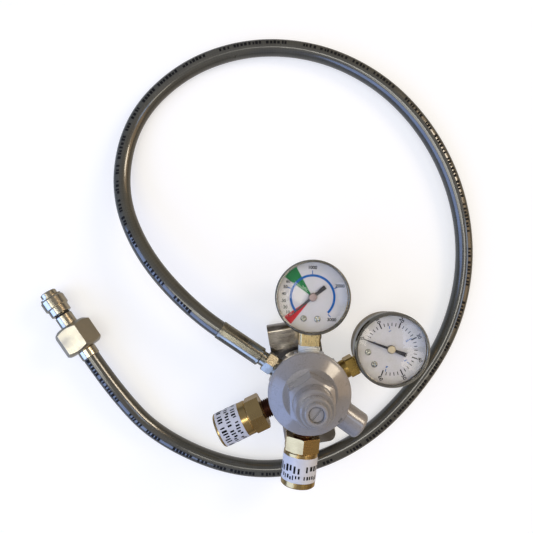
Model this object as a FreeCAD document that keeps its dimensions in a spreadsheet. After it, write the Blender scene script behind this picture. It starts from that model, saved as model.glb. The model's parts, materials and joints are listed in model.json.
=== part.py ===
import FreeCAD, Part
import math
import os
import Sketcher

# Gas cylinder regulator with two gauges, two self-closing outlet valves, a relief
# valve, a hanging bracket and a stiff inlet hose with a swivel end fitting.
# Millimetres and degrees. The origin is on the regulator's adjusting axis, in the
# plane of the bracket's back face, and +Z points out through the adjusting screw.

# Driving dimensions. "reach" is a distance from the adjusting axis along a port,
# "height" is a distance above the bracket's back face, and "run" is a distance
# along the end fitting from the hose's last face.
DIMENSIONS = {
    # where things point
    "hose_port_angle": 146.0,
    "tank_port_angle": 88.0,
    "outlet_port_angle": 28.2,
    "relief_port_angle": -35.7,
    "lower_port_angle": -96.2,
    "left_port_angle": 205.5,
    "bracket_angle": 9.0,
    "end_fitting_angle": 124.5,
    # regulator body
    "port_height": 34.0,
    "body_foot_radius": 21.0,
    "body_radius": 27.0,
    "body_foot_height": 3.0,
    "body_cone_low": 9.0,
    "body_cone_high": 15.0,
    "clamp_radius": 28.6,
    "clamp_low": 44.0,
    "clamp_high": 48.5,
    "chamber_radius": 22.0,
    "chamber_floor": 42.5,
    "boss_radius": 11.0,
    "boss_start": 24.0,
    "boss_reach": 27.6,
    "port_bore": 7.1,
    "port_bore_start": 16.0,
    "thread_radius": 7.0,
    "thread_start": 18.0,
    "passage_radius": 1.6,
    "riser_reach": 19.0,
    # high pressure valve in the middle of the body
    "plug_radius": 9.0,
    "plug_high": 14.0,
    "valve_chamber_radius": 7.5,
    "seat_height": 36.0,
    "nozzle_radius": 4.5,
    "nozzle_flange_radius": 6.0,
    "nozzle_flange_high": 43.6,
    "nozzle_hole": 2.0,
    "seat_disc_radius": 4.2,
    "seat_disc_low": 35.0,
    "poppet_radius": 5.8,
    "poppet_low": 24.0,
    "pin_radius": 1.4,
    "plate_low": 47.4,
    "plate_high": 50.2,
    "plate_radius": 11.7,
    "plate_pilot_radius": 5.6,
    "plate_pilot_high": 52.6,
    "diaphragm_thickness": 0.8,
    "diaphragm_hole": 12.0,
    # bonnet
    "skirt_low": 45.6,
    "skirt_radius": 29.8,
    "skirt_top": 51.6,
    "crimp_round": 1.4,
    "dome_foot_radius": 27.6,
    "dome_foot_height": 52.4,
    "dome_round": 6.0,
    "dome_top_radius": 19.6,
    "hex_low": 56.8,
    "hex_high": 78.0,
    "hex_flats": 30.4,
    "barrel_radius": 13.2,
    "barrel_high": 93.0,
    "neck_radius": 10.0,
    "neck_high": 100.0,
    "ring_radius": 7.3,
    "ring_high": 104.0,
    "spring_bore": 11.2,
    "spring_bore_high": 86.0,
    "vent_angle": -40.0,
    "vent_reach": 27.6,
    "vent_width": 1.3,
    "vent_length": 3.6,
    "vent_depth": 1.2,
    "screw_bore": 4.85,
    "screw_recess": 0.4,
    "screw_radius": 4.8,
    "screw_low": 80.0,
    "screw_high": 102.6,
    "screw_slot_width": 1.2,
    "screw_slot_depth": 1.0,
    "screw_slot_angle": -40.0,
    "button_low": 76.0,
    "button_radius": 10.6,
    "button_pilot_low": 73.4,
    "range_spring_radius": 8.0,
    "range_wire": 1.2,
    # bracket
    "plate_thickness": 3.0,
    "bracket_left": -23.4,
    "bracket_right": 17.7,
    "bracket_bottom": -52.0,
    "bracket_top": 48.2,
    "hook_height": 18.0,
    "hook_lip_edge": 29.3,
    "hook_bend": 4.5,
    "bracket_corner": 6.0,
    "bracket_screw_reach": 15.0,
    "bracket_screw_radius": 2.5,
    "bracket_screw_head": 4.8,
    "bracket_screw_head_high": 2.3,
    "bracket_screw_high": 11.0,
    # gauges
    "tank_hub_reach": 68.9,
    "outlet_hub_reach": 66.6,
    "case_radius": 25.6,
    "case_wall": 1.0,
    "case_low": 25.0,
    "case_high": 46.5,
    "bezel_radius": 27.0,
    "bezel_low": 44.0,
    "bezel_high": 53.0,
    "bezel_round": 1.6,
    "tank_window_radius": 25.1,
    "outlet_window_radius": 24.4,
    "lens_radius": 25.5,
    "lens_low": 49.6,
    "lens_edge": 51.6,
    "lens_crown": 2.4,
    "lens_thickness": 1.6,
    "dial_low": 46.6,
    "dial_high": 47.2,
    "dial_radius": 25.2,
    "pointer_zero": 221.4,
    "pointer_low": 48.2,
    "pointer_thickness": 0.5,
    "pointer_length": 22.0,
    "pointer_tail": 11.6,
    "pointer_tail_width": 3.2,
    "pointer_waist_width": 2.2,
    "pointer_blade_width": 1.8,
    "pointer_tip_width": 0.5,
    "pointer_hub": 3.0,
    "pointer_hub_thickness": 1.5,
    "arbor_radius": 0.9,
    "arbor_low": 38.5,
    "dial_screw_radius": 2.3,
    "dial_screw_high": 48.0,
    "dial_screw_slot": 0.6,
    "tube_inner": 17.4,
    "tube_outer": 19.6,
    "tube_low": 30.5,
    "tube_high": 37.5,
    "tube_sweep": 255.0,
    "movement_low": 39.5,
    "movement_high": 43.5,
    "movement_width": 18.0,
    "movement_top": 7.0,
    "movement_waist": 4.0,
    "movement_foot": 15.0,
    "movement_foot_width": 12.0,
    "tank_socket_flats": 15.0,
    "tank_socket_start": 32.6,
    "outlet_socket_flats": 13.8,
    "outlet_socket_start": 33.2,
    "socket_neck_radius": 5.4,
    "socket_shoulder": 1.0,
    "socket_tip": 12.0,
    "socket_tip_wall": 2.0,
    "tape_radius": 8.1,
    # outlet valves
    "valve_hex_start": 36.4,
    "valve_hex_end": 47.0,
    "valve_hex_flats": 24.5,
    "valve_radius": 12.7,
    "valve_end": 72.8,
    "valve_bore": 2.5,
    "valve_seat": 51.5,
    "valve_chamber": 8.4,
    "valve_outlet_bore": 9.3,
    "valve_poppet_radius": 6.8,
    "valve_retainer_start": 63.4,
    "valve_retainer_end": 65.8,
    "lower_valve_depth": 2.0,
    "left_label_start": 53.0,
    "left_label_end": 71.0,
    "lower_label_start": 50.3,
    "lower_label_end": 68.2,
    "label_thickness": 0.15,
    # relief valve
    "relief_flange_radius": 10.8,
    "relief_flange_start": 29.0,
    "relief_flange_end": 32.0,
    "relief_radius": 10.0,
    "relief_end": 48.8,
    "relief_wall": 2.4,
    "relief_round": 2.6,
    "relief_cavity": 7.0,
    "relief_seat": 33.0,
    "relief_vent": 1.5,
    # hose and its fittings
    "hose_radius": 6.5,
    "adapter_flats": 14.3,
    "adapter_hex_start": 30.4,
    "adapter_hex_end": 38.0,
    "adapter_neck_radius": 5.5,
    "ferrule_start": 42.0,
    "ferrule_end": 79.0,
    "ferrule_radius": 7.15,
    "ferrule_flats": 13.9,
    "barb_radius": 4.0,
    "hose_bore": 2.4,
    "end_fitting_x": -167.9,
    "end_fitting_y": 20.3,
    "end_axis_height": 13.5,
    "end_ferrule_end": 7.8,
    "nut_end": 29.6,
    "nut_flats": 27.0,
    "nut_bore": 5.05,
    "nut_cavity": 9.5,
    "nut_wall": 4.0,
    "nipple_radius": 5.0,
    "nipple_shoulder": 9.2,
    "probe_start": 16.5,
    "probe_neck_radius": 6.65,
    "groove_start": 38.8,
    "groove_end": 40.9,
    "groove_radius": 4.5,
    "second_ring_radius": 8.0,
    "second_ring_end": 46.6,
    "large_ring_radius": 9.2,
    "large_ring_end": 55.3,
    "flange_radius": 8.2,
    "flange_end": 56.6,
    "tip_radius": 6.25,
    "tip_end": 60.8,
    "probe_chamber": 4.6,
    "probe_chamber_start": 32.0,
    "probe_seat": 54.4,
    "probe_poppet_radius": 4.3,
    "probe_nose_radius": 2.3,
}

# The hose's route between its first and last faces. It leaves the ferrule level,
# comes down over about 180 mm, lies on its side of the loop and rises to the end
# fitting. The first and last points are the faces of the two ferrules.
ROUTE = [
    (-87.05, 58.72, 34.0),
    (-126.4, 102.4, 28.5),
    (-147.4, 152.7, 13.5),
    (-137.4, 209.2, 6.5),
    (-96.9, 248.9, 6.5),
    (-43.9, 266.9, 6.5),
    (12.0, 262.7, 6.5),
    (62.1, 238.0, 6.5),
    (100.0, 197.2, 6.5),
    (123.1, 146.3, 6.5),
    (128.8, 90.9, 6.5),
    (115.5, 36.5, 6.5),
    (85.3, -9.5, 6.5),
    (45.0, -48.6, 6.5),
    (-7.0, -70.7, 6.5),
    (-60.4, -69.7, 6.5),
    (-117.1, -44.4, 6.5),
    (-148.42, -8.05, 13.5),
]

UP = FreeCAD.Vector(0, 0, 1)
CHAMFER = 1.0
SMALL_CHAMFER = 0.5
THREAD_DEPTH = 0.7
DIAL_SCREW_TURN = 40.0
# FIT is the room round a piece that goes inside another, and GAP the room at a face
# that only rests on another. SQUARE_CORNER is the turned corner radius of a square
# shank, as a share of its width across the flats.
FIT = 0.05
GAP = 0.02
SQUARE_CORNER = 0.66
TUBE_ROOT_ANGLE = -82.0
START, END = 1, 2
HORIZONTAL_AXIS, VERTICAL_AXIS = -1, -2

doc = FreeCAD.newDocument("cylinder_regulator_with_hose")
sheet = doc.addObject("Spreadsheet::Sheet", "sheet")
for row, (name, number) in enumerate(DIMENSIONS.items(), start=1):
    sheet.set(f"A{row}", name)
    sheet.set(f"B{row}", str(number))
    sheet.setAlias(f"B{row}", name)
doc.recompute()
nodes = {}


class Size:
    """A dimension that carries its value and the spreadsheet expression that gives it."""

    def __init__(self, value, text):
        self.value = value
        self.text = text

    def __add__(self, other):
        other = size(other)
        return Size(self.value + other.value, f"({self.text} + {other.text})")

    def __sub__(self, other):
        other = size(other)
        return Size(self.value - other.value, f"({self.text} - {other.text})")

    def __mul__(self, factor):
        return Size(self.value * factor, f"({self.text} * {factor:.9f})")

    def __neg__(self):
        return self * -1.0


def size(number):
    """A plain number as a Size; a Size stays as it is."""
    if isinstance(number, Size):
        return number
    return Size(float(number), f"({float(number)!r})")


class Dimensions:
    """Every alias of the sheet as an attribute."""


dim = Dimensions()
for name in DIMENSIONS:
    setattr(dim, name, Size(float(sheet.get(name)), f"sheet.{name}"))


# ---------------------------------------------------------------- drawing helpers

def bind(thing, path, value):
    """Give a property its value through an expression."""
    thing.setExpression(path, size(value).text)


def keep(thing, label, placement=None):
    """Name a finished sub-part and put it in its place."""
    thing.Label = label
    if placement is not None:
        thing.Placement = placement
    nodes[label] = thing
    return thing


def plane(body, role):
    """One of a body's own origin planes."""
    return next(f for f in body.Origin.OriginFeatures if f.Role == role)


def new_sketch(body, label, role="XY_Plane"):
    """An empty sketch on one of the body's origin planes."""
    sketch = body.newObject("Sketcher::SketchObject", label)
    sketch.AttachmentSupport = (plane(body, role), [""])
    sketch.MapMode = "FlatFace"
    return sketch


def fix(sketch, kind, axis, line, value):
    """Hold a line's start point at a signed distance from the sketch's origin."""
    value = size(value)
    if value.value == 0.0:
        sketch.addConstraint(Sketcher.Constraint("PointOnObject", line, START, axis))
        return
    if value.value > 0.0:
        ends = (-1, START, line, START)
    else:
        ends = (line, START, -1, START)
        value = -value
    number = sketch.addConstraint(Sketcher.Constraint(kind, *ends, value.value))
    bind(sketch, f"Constraints[{number}]", value)


def outline(sketch, corners):
    """A closed polygon whose corners are bound to the sheet."""
    first = sketch.GeometryCount
    points = [FreeCAD.Vector(size(x).value, size(y).value, 0) for x, y in corners]
    for start, end in zip(points, points[1:] + points[:1]):
        sketch.addGeometry(Part.LineSegment(start, end))
    for i, (x, y) in enumerate(corners):
        line = first + i
        before = first + (i - 1) % len(corners)
        sketch.addConstraint(Sketcher.Constraint("Coincident", before, END, line, START))
        fix(sketch, "DistanceX", VERTICAL_AXIS, line, x)
        fix(sketch, "DistanceY", HORIZONTAL_AXIS, line, y)


def ring_line(sketch, radius):
    """A circle about the sketch's origin."""
    circle = Part.Circle(FreeCAD.Vector(), UP, size(radius).value)
    line = sketch.addGeometry(circle)
    sketch.addConstraint(Sketcher.Constraint("Coincident", line, 3, -1, START))
    number = sketch.addConstraint(Sketcher.Constraint("Radius", line, size(radius).value))
    bind(sketch, f"Constraints[{number}]", radius)


def polygon(sides, flats, phase=0.0):
    """Corners of a regular polygon of a given width across its flats."""
    corner_radius = flats * (0.5 / math.cos(math.pi / sides))
    turns = [math.radians(phase) + 2 * math.pi * i / sides for i in range(sides)]
    return [(corner_radius * math.cos(t), corner_radius * math.sin(t)) for t in turns]


def turned(label, corners, sweep=360.0):
    """A body turned about its own Z axis; each corner is (radius, height)."""
    body = doc.addObject("PartDesign::Body", label)
    profile = new_sketch(body, f"{label}_profile", "XZ_Plane")
    outline(profile, corners)
    turn = body.newObject("PartDesign::Revolution", f"{label}_turn")
    turn.Profile = profile
    turn.ReferenceAxis = (profile, ["V_Axis"])
    bind(turn, "Angle", sweep)
    profile.Visibility = False
    return body


def mill(body, sides, flats, low, high, stock, phase=0.0):
    """Cut flats on a turned body between two heights, out to the stock's radius."""
    sketch = new_sketch(body, f"{body.Name}_flats")
    bind(sketch, "AttachmentOffset.Base.z", low)
    outline(sketch, polygon(sides, flats, phase))
    ring_line(sketch, stock)
    cut = body.newObject("PartDesign::Pocket", f"{body.Name}_flats_cut")
    cut.Profile = sketch
    bind(cut, "Length", high - low)
    cut.Reversed = True
    return cut


def slot_cut(body, width, length, high, depth):
    """Cut a straight slot down into the top of a body."""
    sketch = new_sketch(body, f"{body.Name}_slot")
    bind(sketch, "AttachmentOffset.Base.z", high)
    x, y = width * 0.5, size(length) * 0.5
    outline(sketch, [(-x, -y), (x, -y), (x, y), (-x, y)])
    cut = body.newObject("PartDesign::Pocket", f"{body.Name}_slot_cut")
    cut.Profile = sketch
    bind(cut, "Length", depth)
    return cut


def rounded(body, base, radius, wanted):
    """Fillet the edges of a feature that a test on the edge picks."""
    doc.recompute()
    edges = enumerate(base.Shape.Edges, start=1)
    names = [f"Edge{i}" for i, edge in edges if wanted(edge)]
    fillet = body.newObject("PartDesign::Fillet", f"{body.Name}_rounding{len(body.Group)}")
    fillet.Base = (base, names)
    bind(fillet, "Radius", radius)
    return fillet


def rim(radius, height):
    """A test for the circular edge of a given radius and height."""
    def wanted(edge):
        if not isinstance(edge.Curve, Part.Circle):
            return False
        same_radius = abs(edge.Curve.Radius - size(radius).value) < 0.01
        return same_radius and abs(edge.Curve.Center.z - size(height).value) < 0.01
    return wanted


def cylinder(label, radius, low, high, placement=None):
    """A plain cylinder between two heights of its frame."""
    frame = placement or FreeCAD.Placement()
    tool = doc.addObject("Part::Cylinder", label)
    bind(tool, "Radius", radius)
    bind(tool, "Height", size(high) - low)
    start = FreeCAD.Placement(UP * size(low).value, FreeCAD.Rotation())
    tool.Placement = frame.multiply(start)
    return tool


def joined(label, pieces):
    """Several shapes as one."""
    union = doc.addObject("Part::MultiFuse", label)
    union.Shapes = pieces
    return union


def cut_away(label, base, tools):
    """A shape with others taken out of it."""
    result = doc.addObject("Part::Cut", label)
    result.Base = base
    result.Tool = joined(f"{label}_tools", tools) if len(tools) > 1 else tools[0]
    return result


def coil(label, radius, wire, low, high, turns, placement=None):
    """A compression spring that just touches both its seats."""
    frame = placement or FreeCAD.Placement()
    first, last = size(low) + wire, size(high) - wire
    helix = doc.addObject("Part::Helix", f"{label}_helix")
    bind(helix, "Radius", radius)
    bind(helix, "Height", last - first)
    bind(helix, "Pitch", (last - first) * (1.0 / turns))
    helix.Placement = FreeCAD.Placement(UP * first.value, FreeCAD.Rotation())
    section = doc.addObject("Part::Circle", f"{label}_section")
    bind(section, "Radius", wire)
    upright = FreeCAD.Rotation(FreeCAD.Vector(1, 0, 0), 90)
    section.Placement = FreeCAD.Placement(FreeCAD.Vector(radius.value, 0, first.value), upright)
    sweep = doc.addObject("Part::Sweep", label)
    sweep.Sections = [section]
    sweep.Spine = (helix, [])
    sweep.Solid = True
    sweep.Frenet = True
    return keep(sweep, label, frame)


# ---------------------------------------------------------------- frames

def port_frame(angle):
    """A port's frame: +Z runs out along the port from the adjusting axis."""
    out = FreeCAD.Rotation(UP, angle.value).multiply(FreeCAD.Rotation(FreeCAD.Vector(0, 1, 0), 90))
    return FreeCAD.Placement(UP * dim.port_height.value, out)


def upright_frame(angle, reach, turn):
    """A frame with +Z up, set out along a port direction and turned about its Z."""
    direction = math.radians(angle.value)
    base = FreeCAD.Vector(math.cos(direction), math.sin(direction), 0) * reach.value
    return FreeCAD.Placement(base, FreeCAD.Rotation(UP, turn))


FRAMES = {
    "hose": port_frame(dim.hose_port_angle),
    "tank": port_frame(dim.tank_port_angle),
    "outlet": port_frame(dim.outlet_port_angle),
    "relief": port_frame(dim.relief_port_angle),
    "lower": port_frame(dim.lower_port_angle),
    "left": port_frame(dim.left_port_angle),
}
BRACKET_FRAME = FreeCAD.Placement(FreeCAD.Vector(), FreeCAD.Rotation(UP, dim.bracket_angle.value))


# ---------------------------------------------------------------- regulator body

def make_regulator_body():
    """The painted body with six ports, its low pressure chamber and valve bore."""
    shell = turned("regulator_body_blank", [
        (dim.plug_radius, dim.body_foot_height),
        (dim.body_foot_radius, dim.body_foot_height),
        (dim.body_foot_radius, dim.body_cone_low),
        (dim.body_radius, dim.body_cone_high),
        (dim.body_radius, dim.clamp_low - 1.5),
        (dim.clamp_radius, dim.clamp_low),
        (dim.clamp_radius, dim.clamp_high),
        (dim.chamber_radius, dim.clamp_high),
        (dim.chamber_radius, dim.chamber_floor),
        (dim.nozzle_radius, dim.chamber_floor),
        (dim.nozzle_radius, dim.seat_height),
        (dim.valve_chamber_radius, dim.seat_height),
        (dim.valve_chamber_radius, dim.plug_high),
        (dim.plug_radius, dim.plug_high),
    ])
    bosses = []
    tools = []
    for port, frame in FRAMES.items():
        bosses.append(cylinder(f"{port}_boss", dim.boss_radius, dim.boss_start,
                               dim.boss_reach, frame))
        tools.append(cylinder(f"{port}_bore", dim.port_bore, dim.port_bore_start,
                              dim.boss_reach + 1.0, frame))
        if port in ("hose", "tank"):
            tools.append(cylinder(f"{port}_passage", dim.passage_radius,
                                  dim.valve_chamber_radius - 1.0,
                                  dim.port_bore_start + 1.0, frame))
        else:
            mouth = frame.multVec(UP * dim.riser_reach.value)
            riser = FreeCAD.Placement(FreeCAD.Vector(mouth.x, mouth.y, 0), FreeCAD.Rotation())
            tools.append(cylinder(f"{port}_riser", dim.passage_radius, dim.port_height,
                                  dim.chamber_floor + 1.0, riser))
    for i, side in enumerate((1, -1)):
        across = FreeCAD.Vector(0, side * dim.bracket_screw_reach.value, 0)
        seat = BRACKET_FRAME.multiply(FreeCAD.Placement(across, FreeCAD.Rotation()))
        tools.append(cylinder(f"bracket_thread_{i}", dim.bracket_screw_radius,
                              dim.body_foot_height - 1.0, dim.bracket_screw_high + 1.0, seat))
    blank = joined("regulator_body_cast", [shell] + bosses)
    keep(cut_away("regulator_body_machined", blank, tools), "regulator_body")


def make_valve_parts():
    """The plug, nozzle, poppet, pin and diaphragm plate on the adjusting axis."""
    keep(turned("back_plug_turned", [
        (0, dim.body_foot_height),
        (dim.plug_radius - FIT, dim.body_foot_height),
        (dim.plug_radius - FIT, dim.plug_high - CHAMFER),
        (dim.plug_radius - CHAMFER, dim.plug_high),
        (dim.poppet_radius - 2.4, dim.plug_high),
        (dim.poppet_radius - 2.4, dim.plug_high + 2.0),
        (0, dim.plug_high + 2.0),
    ]), "back_plug")
    keep(turned("valve_nozzle_turned", [
        (dim.nozzle_hole, dim.seat_height),
        (dim.nozzle_radius - FIT, dim.seat_height),
        (dim.nozzle_radius - FIT, dim.chamber_floor),
        (dim.nozzle_flange_radius, dim.chamber_floor),
        (dim.nozzle_flange_radius, dim.nozzle_flange_high),
        (dim.nozzle_hole, dim.nozzle_flange_high),
    ]), "valve_nozzle")
    poppet = turned("inlet_poppet_turned", [
        (0, dim.poppet_low - 3.0),
        (dim.poppet_radius - 2.4, dim.poppet_low - 3.0),
        (dim.poppet_radius - 2.4, dim.poppet_low),
        (dim.poppet_radius, dim.poppet_low),
        (dim.poppet_radius, dim.seat_disc_low - CHAMFER),
        (dim.poppet_radius - CHAMFER, dim.seat_disc_low),
        (0, dim.seat_disc_low),
    ])
    mill(poppet, 6, dim.poppet_radius * 1.8, dim.poppet_low, dim.seat_disc_low,
         dim.poppet_radius + 1.0)
    keep(poppet, "inlet_poppet")
    keep(turned("seat_disc_turned", [
        (0, dim.seat_disc_low),
        (dim.seat_disc_radius, dim.seat_disc_low),
        (dim.seat_disc_radius, dim.seat_height - GAP),
        (0, dim.seat_height - GAP),
    ]), "seat_disc")
    keep(turned("push_pin_turned", [
        (0, dim.seat_height - GAP),
        (dim.pin_radius, dim.seat_height - GAP),
        (dim.pin_radius, dim.plate_low),
        (0, dim.plate_low),
    ]), "push_pin")
    keep(turned("diaphragm_plate_turned", [
        (0, dim.plate_low),
        (dim.plate_radius - CHAMFER, dim.plate_low),
        (dim.plate_radius, dim.plate_low + CHAMFER),
        (dim.plate_radius, dim.plate_high),
        (dim.plate_pilot_radius, dim.plate_high),
        (dim.plate_pilot_radius, dim.plate_pilot_high - CHAMFER),
        (dim.plate_pilot_radius - CHAMFER, dim.plate_pilot_high),
        (0, dim.plate_pilot_high),
    ]), "diaphragm_plate")
    keep(turned("diaphragm_turned", [
        (dim.diaphragm_hole, dim.clamp_high),
        (dim.clamp_radius - 0.1, dim.clamp_high),
        (dim.clamp_radius - 0.1, dim.clamp_high + dim.diaphragm_thickness),
        (dim.diaphragm_hole, dim.clamp_high + dim.diaphragm_thickness),
    ]), "diaphragm")
    coil("poppet_spring", dim.poppet_radius - 1.4, size(0.5), dim.plug_high, dim.poppet_low, 5)


def grooves(first, last, radius, depth, count):
    """Corners of a row of thread-like grooves between two heights."""
    corners = []
    pitch = (last - first) * (1.0 / count)
    for i in range(count):
        low = first + pitch * i
        corners.append((radius, low + pitch * 0.25))
        corners.append((radius - depth, low + pitch * 0.4))
        corners.append((radius - depth, low + pitch * 0.8))
        corners.append((radius, low + pitch * 0.95))
    return corners


def make_bonnet():
    """The painted bonnet: crimped skirt, low dome, hexagon, ringed barrel and neck."""
    floor = dim.clamp_high + dim.diaphragm_thickness
    hex_corner = dim.hex_flats * (0.5 / math.cos(math.pi / 6))
    body = turned("bonnet_turned", [
        (dim.chamber_radius, floor),
        (dim.clamp_radius + FIT, floor),
        (dim.clamp_radius + FIT, dim.skirt_low),
        (dim.skirt_radius, dim.skirt_low),
        (dim.skirt_radius, dim.skirt_top),
        (dim.dome_foot_radius, dim.dome_foot_height),
        (dim.dome_top_radius, dim.hex_low),
        (hex_corner, dim.hex_low),
        (hex_corner, dim.hex_high - 2.2),
        (dim.barrel_radius + 0.6, dim.hex_high),
        (dim.barrel_radius, dim.hex_high),
    ] + grooves(dim.hex_high, dim.barrel_high - CHAMFER, dim.barrel_radius, THREAD_DEPTH, 6) + [
        (dim.barrel_radius, dim.barrel_high - CHAMFER),
        (dim.barrel_radius - CHAMFER, dim.barrel_high),
        (dim.neck_radius, dim.barrel_high),
        (dim.neck_radius, dim.neck_high - CHAMFER),
        (dim.neck_radius - CHAMFER, dim.neck_high),
        (dim.ring_radius, dim.neck_high),
        (dim.ring_radius, dim.ring_high - SMALL_CHAMFER),
        (dim.ring_radius - SMALL_CHAMFER, dim.ring_high),
        (dim.screw_bore + dim.screw_recess, dim.ring_high),
        (dim.screw_bore + dim.screw_recess, dim.ring_high - dim.screw_recess * 2),
        (dim.screw_bore, dim.ring_high - dim.screw_recess * 3),
        (dim.screw_bore, dim.spring_bore_high),
        (dim.spring_bore, dim.spring_bore_high),
        (dim.spring_bore, dim.dome_foot_height + 2.0),
        (dim.chamber_radius - 3.0, dim.dome_foot_height - 0.4),
        (dim.chamber_radius, dim.dome_foot_height - 1.4),
    ])
    flats = mill(body, 6, dim.hex_flats, dim.hex_low, dim.hex_high, hex_corner + 2.0, phase=93.0)
    crimp = rounded(body, flats, dim.crimp_round, rim(dim.skirt_radius, dim.skirt_top))
    dome = rounded(body, crimp, dim.dome_round, rim(dim.dome_foot_radius, dim.dome_foot_height))
    rounded(body, dome, size(SMALL_CHAMFER), rim(dim.skirt_radius, dim.skirt_low))
    vent = doc.addObject("Part::Box", "bonnet_vent")
    bind(vent, "Length", dim.vent_width)
    bind(vent, "Width", dim.vent_length)
    bind(vent, "Height", dim.vent_depth + 2.0)
    corner = FreeCAD.Vector(dim.vent_reach.value, -dim.vent_length.value / 2,
                            dim.skirt_top.value - dim.vent_depth.value)
    around = FreeCAD.Rotation(UP, dim.vent_angle.value)
    vent.Placement = FreeCAD.Placement(around.multVec(corner), around)
    keep(cut_away("bonnet_vented", body, [vent]), "bonnet")


def make_adjuster():
    """The slotted adjusting screw, the spring button under it and the range spring."""
    screw = turned("adjusting_screw_turned", [
        (0, dim.screw_low),
        (dim.screw_radius - 2.0, dim.screw_low),
        (dim.screw_radius, dim.screw_low + 2.0),
        (dim.screw_radius, dim.screw_high - SMALL_CHAMFER),
        (dim.screw_radius - SMALL_CHAMFER, dim.screw_high),
        (0, dim.screw_high),
    ])
    slot_cut(screw, dim.screw_slot_width, dim.screw_radius * 4, dim.screw_high,
             dim.screw_slot_depth)
    turn = FreeCAD.Rotation(UP, dim.screw_slot_angle.value)
    keep(screw, "adjusting_screw", FreeCAD.Placement(FreeCAD.Vector(), turn))
    keep(turned("spring_button_turned", [
        (0, dim.button_pilot_low),
        (dim.plate_pilot_radius - CHAMFER, dim.button_pilot_low),
        (dim.plate_pilot_radius, dim.button_pilot_low + CHAMFER),
        (dim.plate_pilot_radius, dim.button_low),
        (dim.button_radius, dim.button_low),
        (dim.button_radius, dim.screw_low - 1.5),
        (dim.screw_radius + 1.0, dim.screw_low),
        (0, dim.screw_low),
    ]), "spring_button")
    coil("range_spring", dim.range_spring_radius, dim.range_wire, dim.plate_high,
         dim.button_low, 6)


# ---------------------------------------------------------------- bracket

def make_bracket():
    """A steel strip with a hook folded forward at its top end."""
    body = doc.addObject("PartDesign::Body", "mounting_bracket_bent")
    side = new_sketch(body, "mounting_bracket_side", "YZ_Plane")
    bind(side, "AttachmentOffset.Base.z", dim.bracket_left)
    outline(side, [
        (dim.bracket_bottom, 0),
        (dim.bracket_top, 0),
        (dim.bracket_top, dim.hook_height),
        (dim.hook_lip_edge, dim.hook_height),
        (dim.hook_lip_edge, dim.hook_height - dim.plate_thickness),
        (dim.bracket_top - dim.plate_thickness, dim.hook_height - dim.plate_thickness),
        (dim.bracket_top - dim.plate_thickness, dim.plate_thickness),
        (dim.bracket_bottom, dim.plate_thickness),
    ])
    strip = body.newObject("PartDesign::Pad", "mounting_bracket_strip")
    strip.Profile = side
    bind(strip, "Length", dim.bracket_right - dim.bracket_left)

    def along_width(y, z):
        def wanted(edge):
            middle = edge.CenterOfMass
            return abs(middle.y - y.value) < 0.01 and abs(middle.z - z.value) < 0.01
        return wanted

    def outer_bend(edge):
        return (along_width(dim.bracket_top, size(0))(edge)
                or along_width(dim.bracket_top, dim.hook_height)(edge))

    def inner_bend(edge):
        inside = dim.bracket_top - dim.plate_thickness
        return (along_width(inside, dim.plate_thickness)(edge)
                or along_width(inside, dim.hook_height - dim.plate_thickness)(edge))

    def plan_corner(edge):
        middle = edge.CenterOfMass
        upright = abs(abs(edge.tangentAt(edge.FirstParameter).z) - 1) < 0.001
        ends = (dim.bracket_bottom.value, dim.hook_lip_edge.value)
        return upright and min(abs(middle.y - y) for y in ends) < 0.01

    outside = rounded(body, strip, dim.hook_bend, outer_bend)
    inside = rounded(body, outside, dim.hook_bend - dim.plate_thickness, inner_bend)
    rounded(body, inside, dim.bracket_corner, plan_corner)
    tools = []
    for i, side_sign in enumerate((1, -1)):
        seat = FreeCAD.Placement(FreeCAD.Vector(0, side_sign * dim.bracket_screw_reach.value, 0),
                                 FreeCAD.Rotation())
        tools.append(cylinder(f"bracket_hole_{i}", dim.bracket_screw_radius + 0.1,
                              -1.0, dim.plate_thickness + 1.0, seat))
        sink = doc.addObject("Part::Cone", f"bracket_sink_{i}")
        bind(sink, "Radius1", dim.bracket_screw_head + FIT)
        bind(sink, "Radius2", dim.bracket_screw_radius + FIT)
        bind(sink, "Height", dim.bracket_screw_head_high)
        sink.Placement = seat
        tools.append(sink)
    keep(cut_away("mounting_bracket_drilled", body, tools), "mounting_bracket", BRACKET_FRAME)


def make_bracket_screws():
    """The two countersunk screws that hold the bracket to the body."""
    screws = []
    for i, side in enumerate((1, -1)):
        screw = turned(f"bracket_screw_{i}", [
            (0, FIT),
            (dim.bracket_screw_head, FIT),
            (dim.bracket_screw_radius - FIT, dim.bracket_screw_head_high),
            (dim.bracket_screw_radius - FIT, dim.bracket_screw_high),
            (0, dim.bracket_screw_high),
        ])
        screw.Placement = FreeCAD.Placement(
            FreeCAD.Vector(0, side * dim.bracket_screw_reach.value, 0), FreeCAD.Rotation())
        screws.append(screw)
    pair = doc.addObject("Part::Compound", "bracket_screw_pair")
    pair.Links = screws
    keep(pair, "bracket_screws", BRACKET_FRAME)


# ---------------------------------------------------------------- gauges

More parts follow.
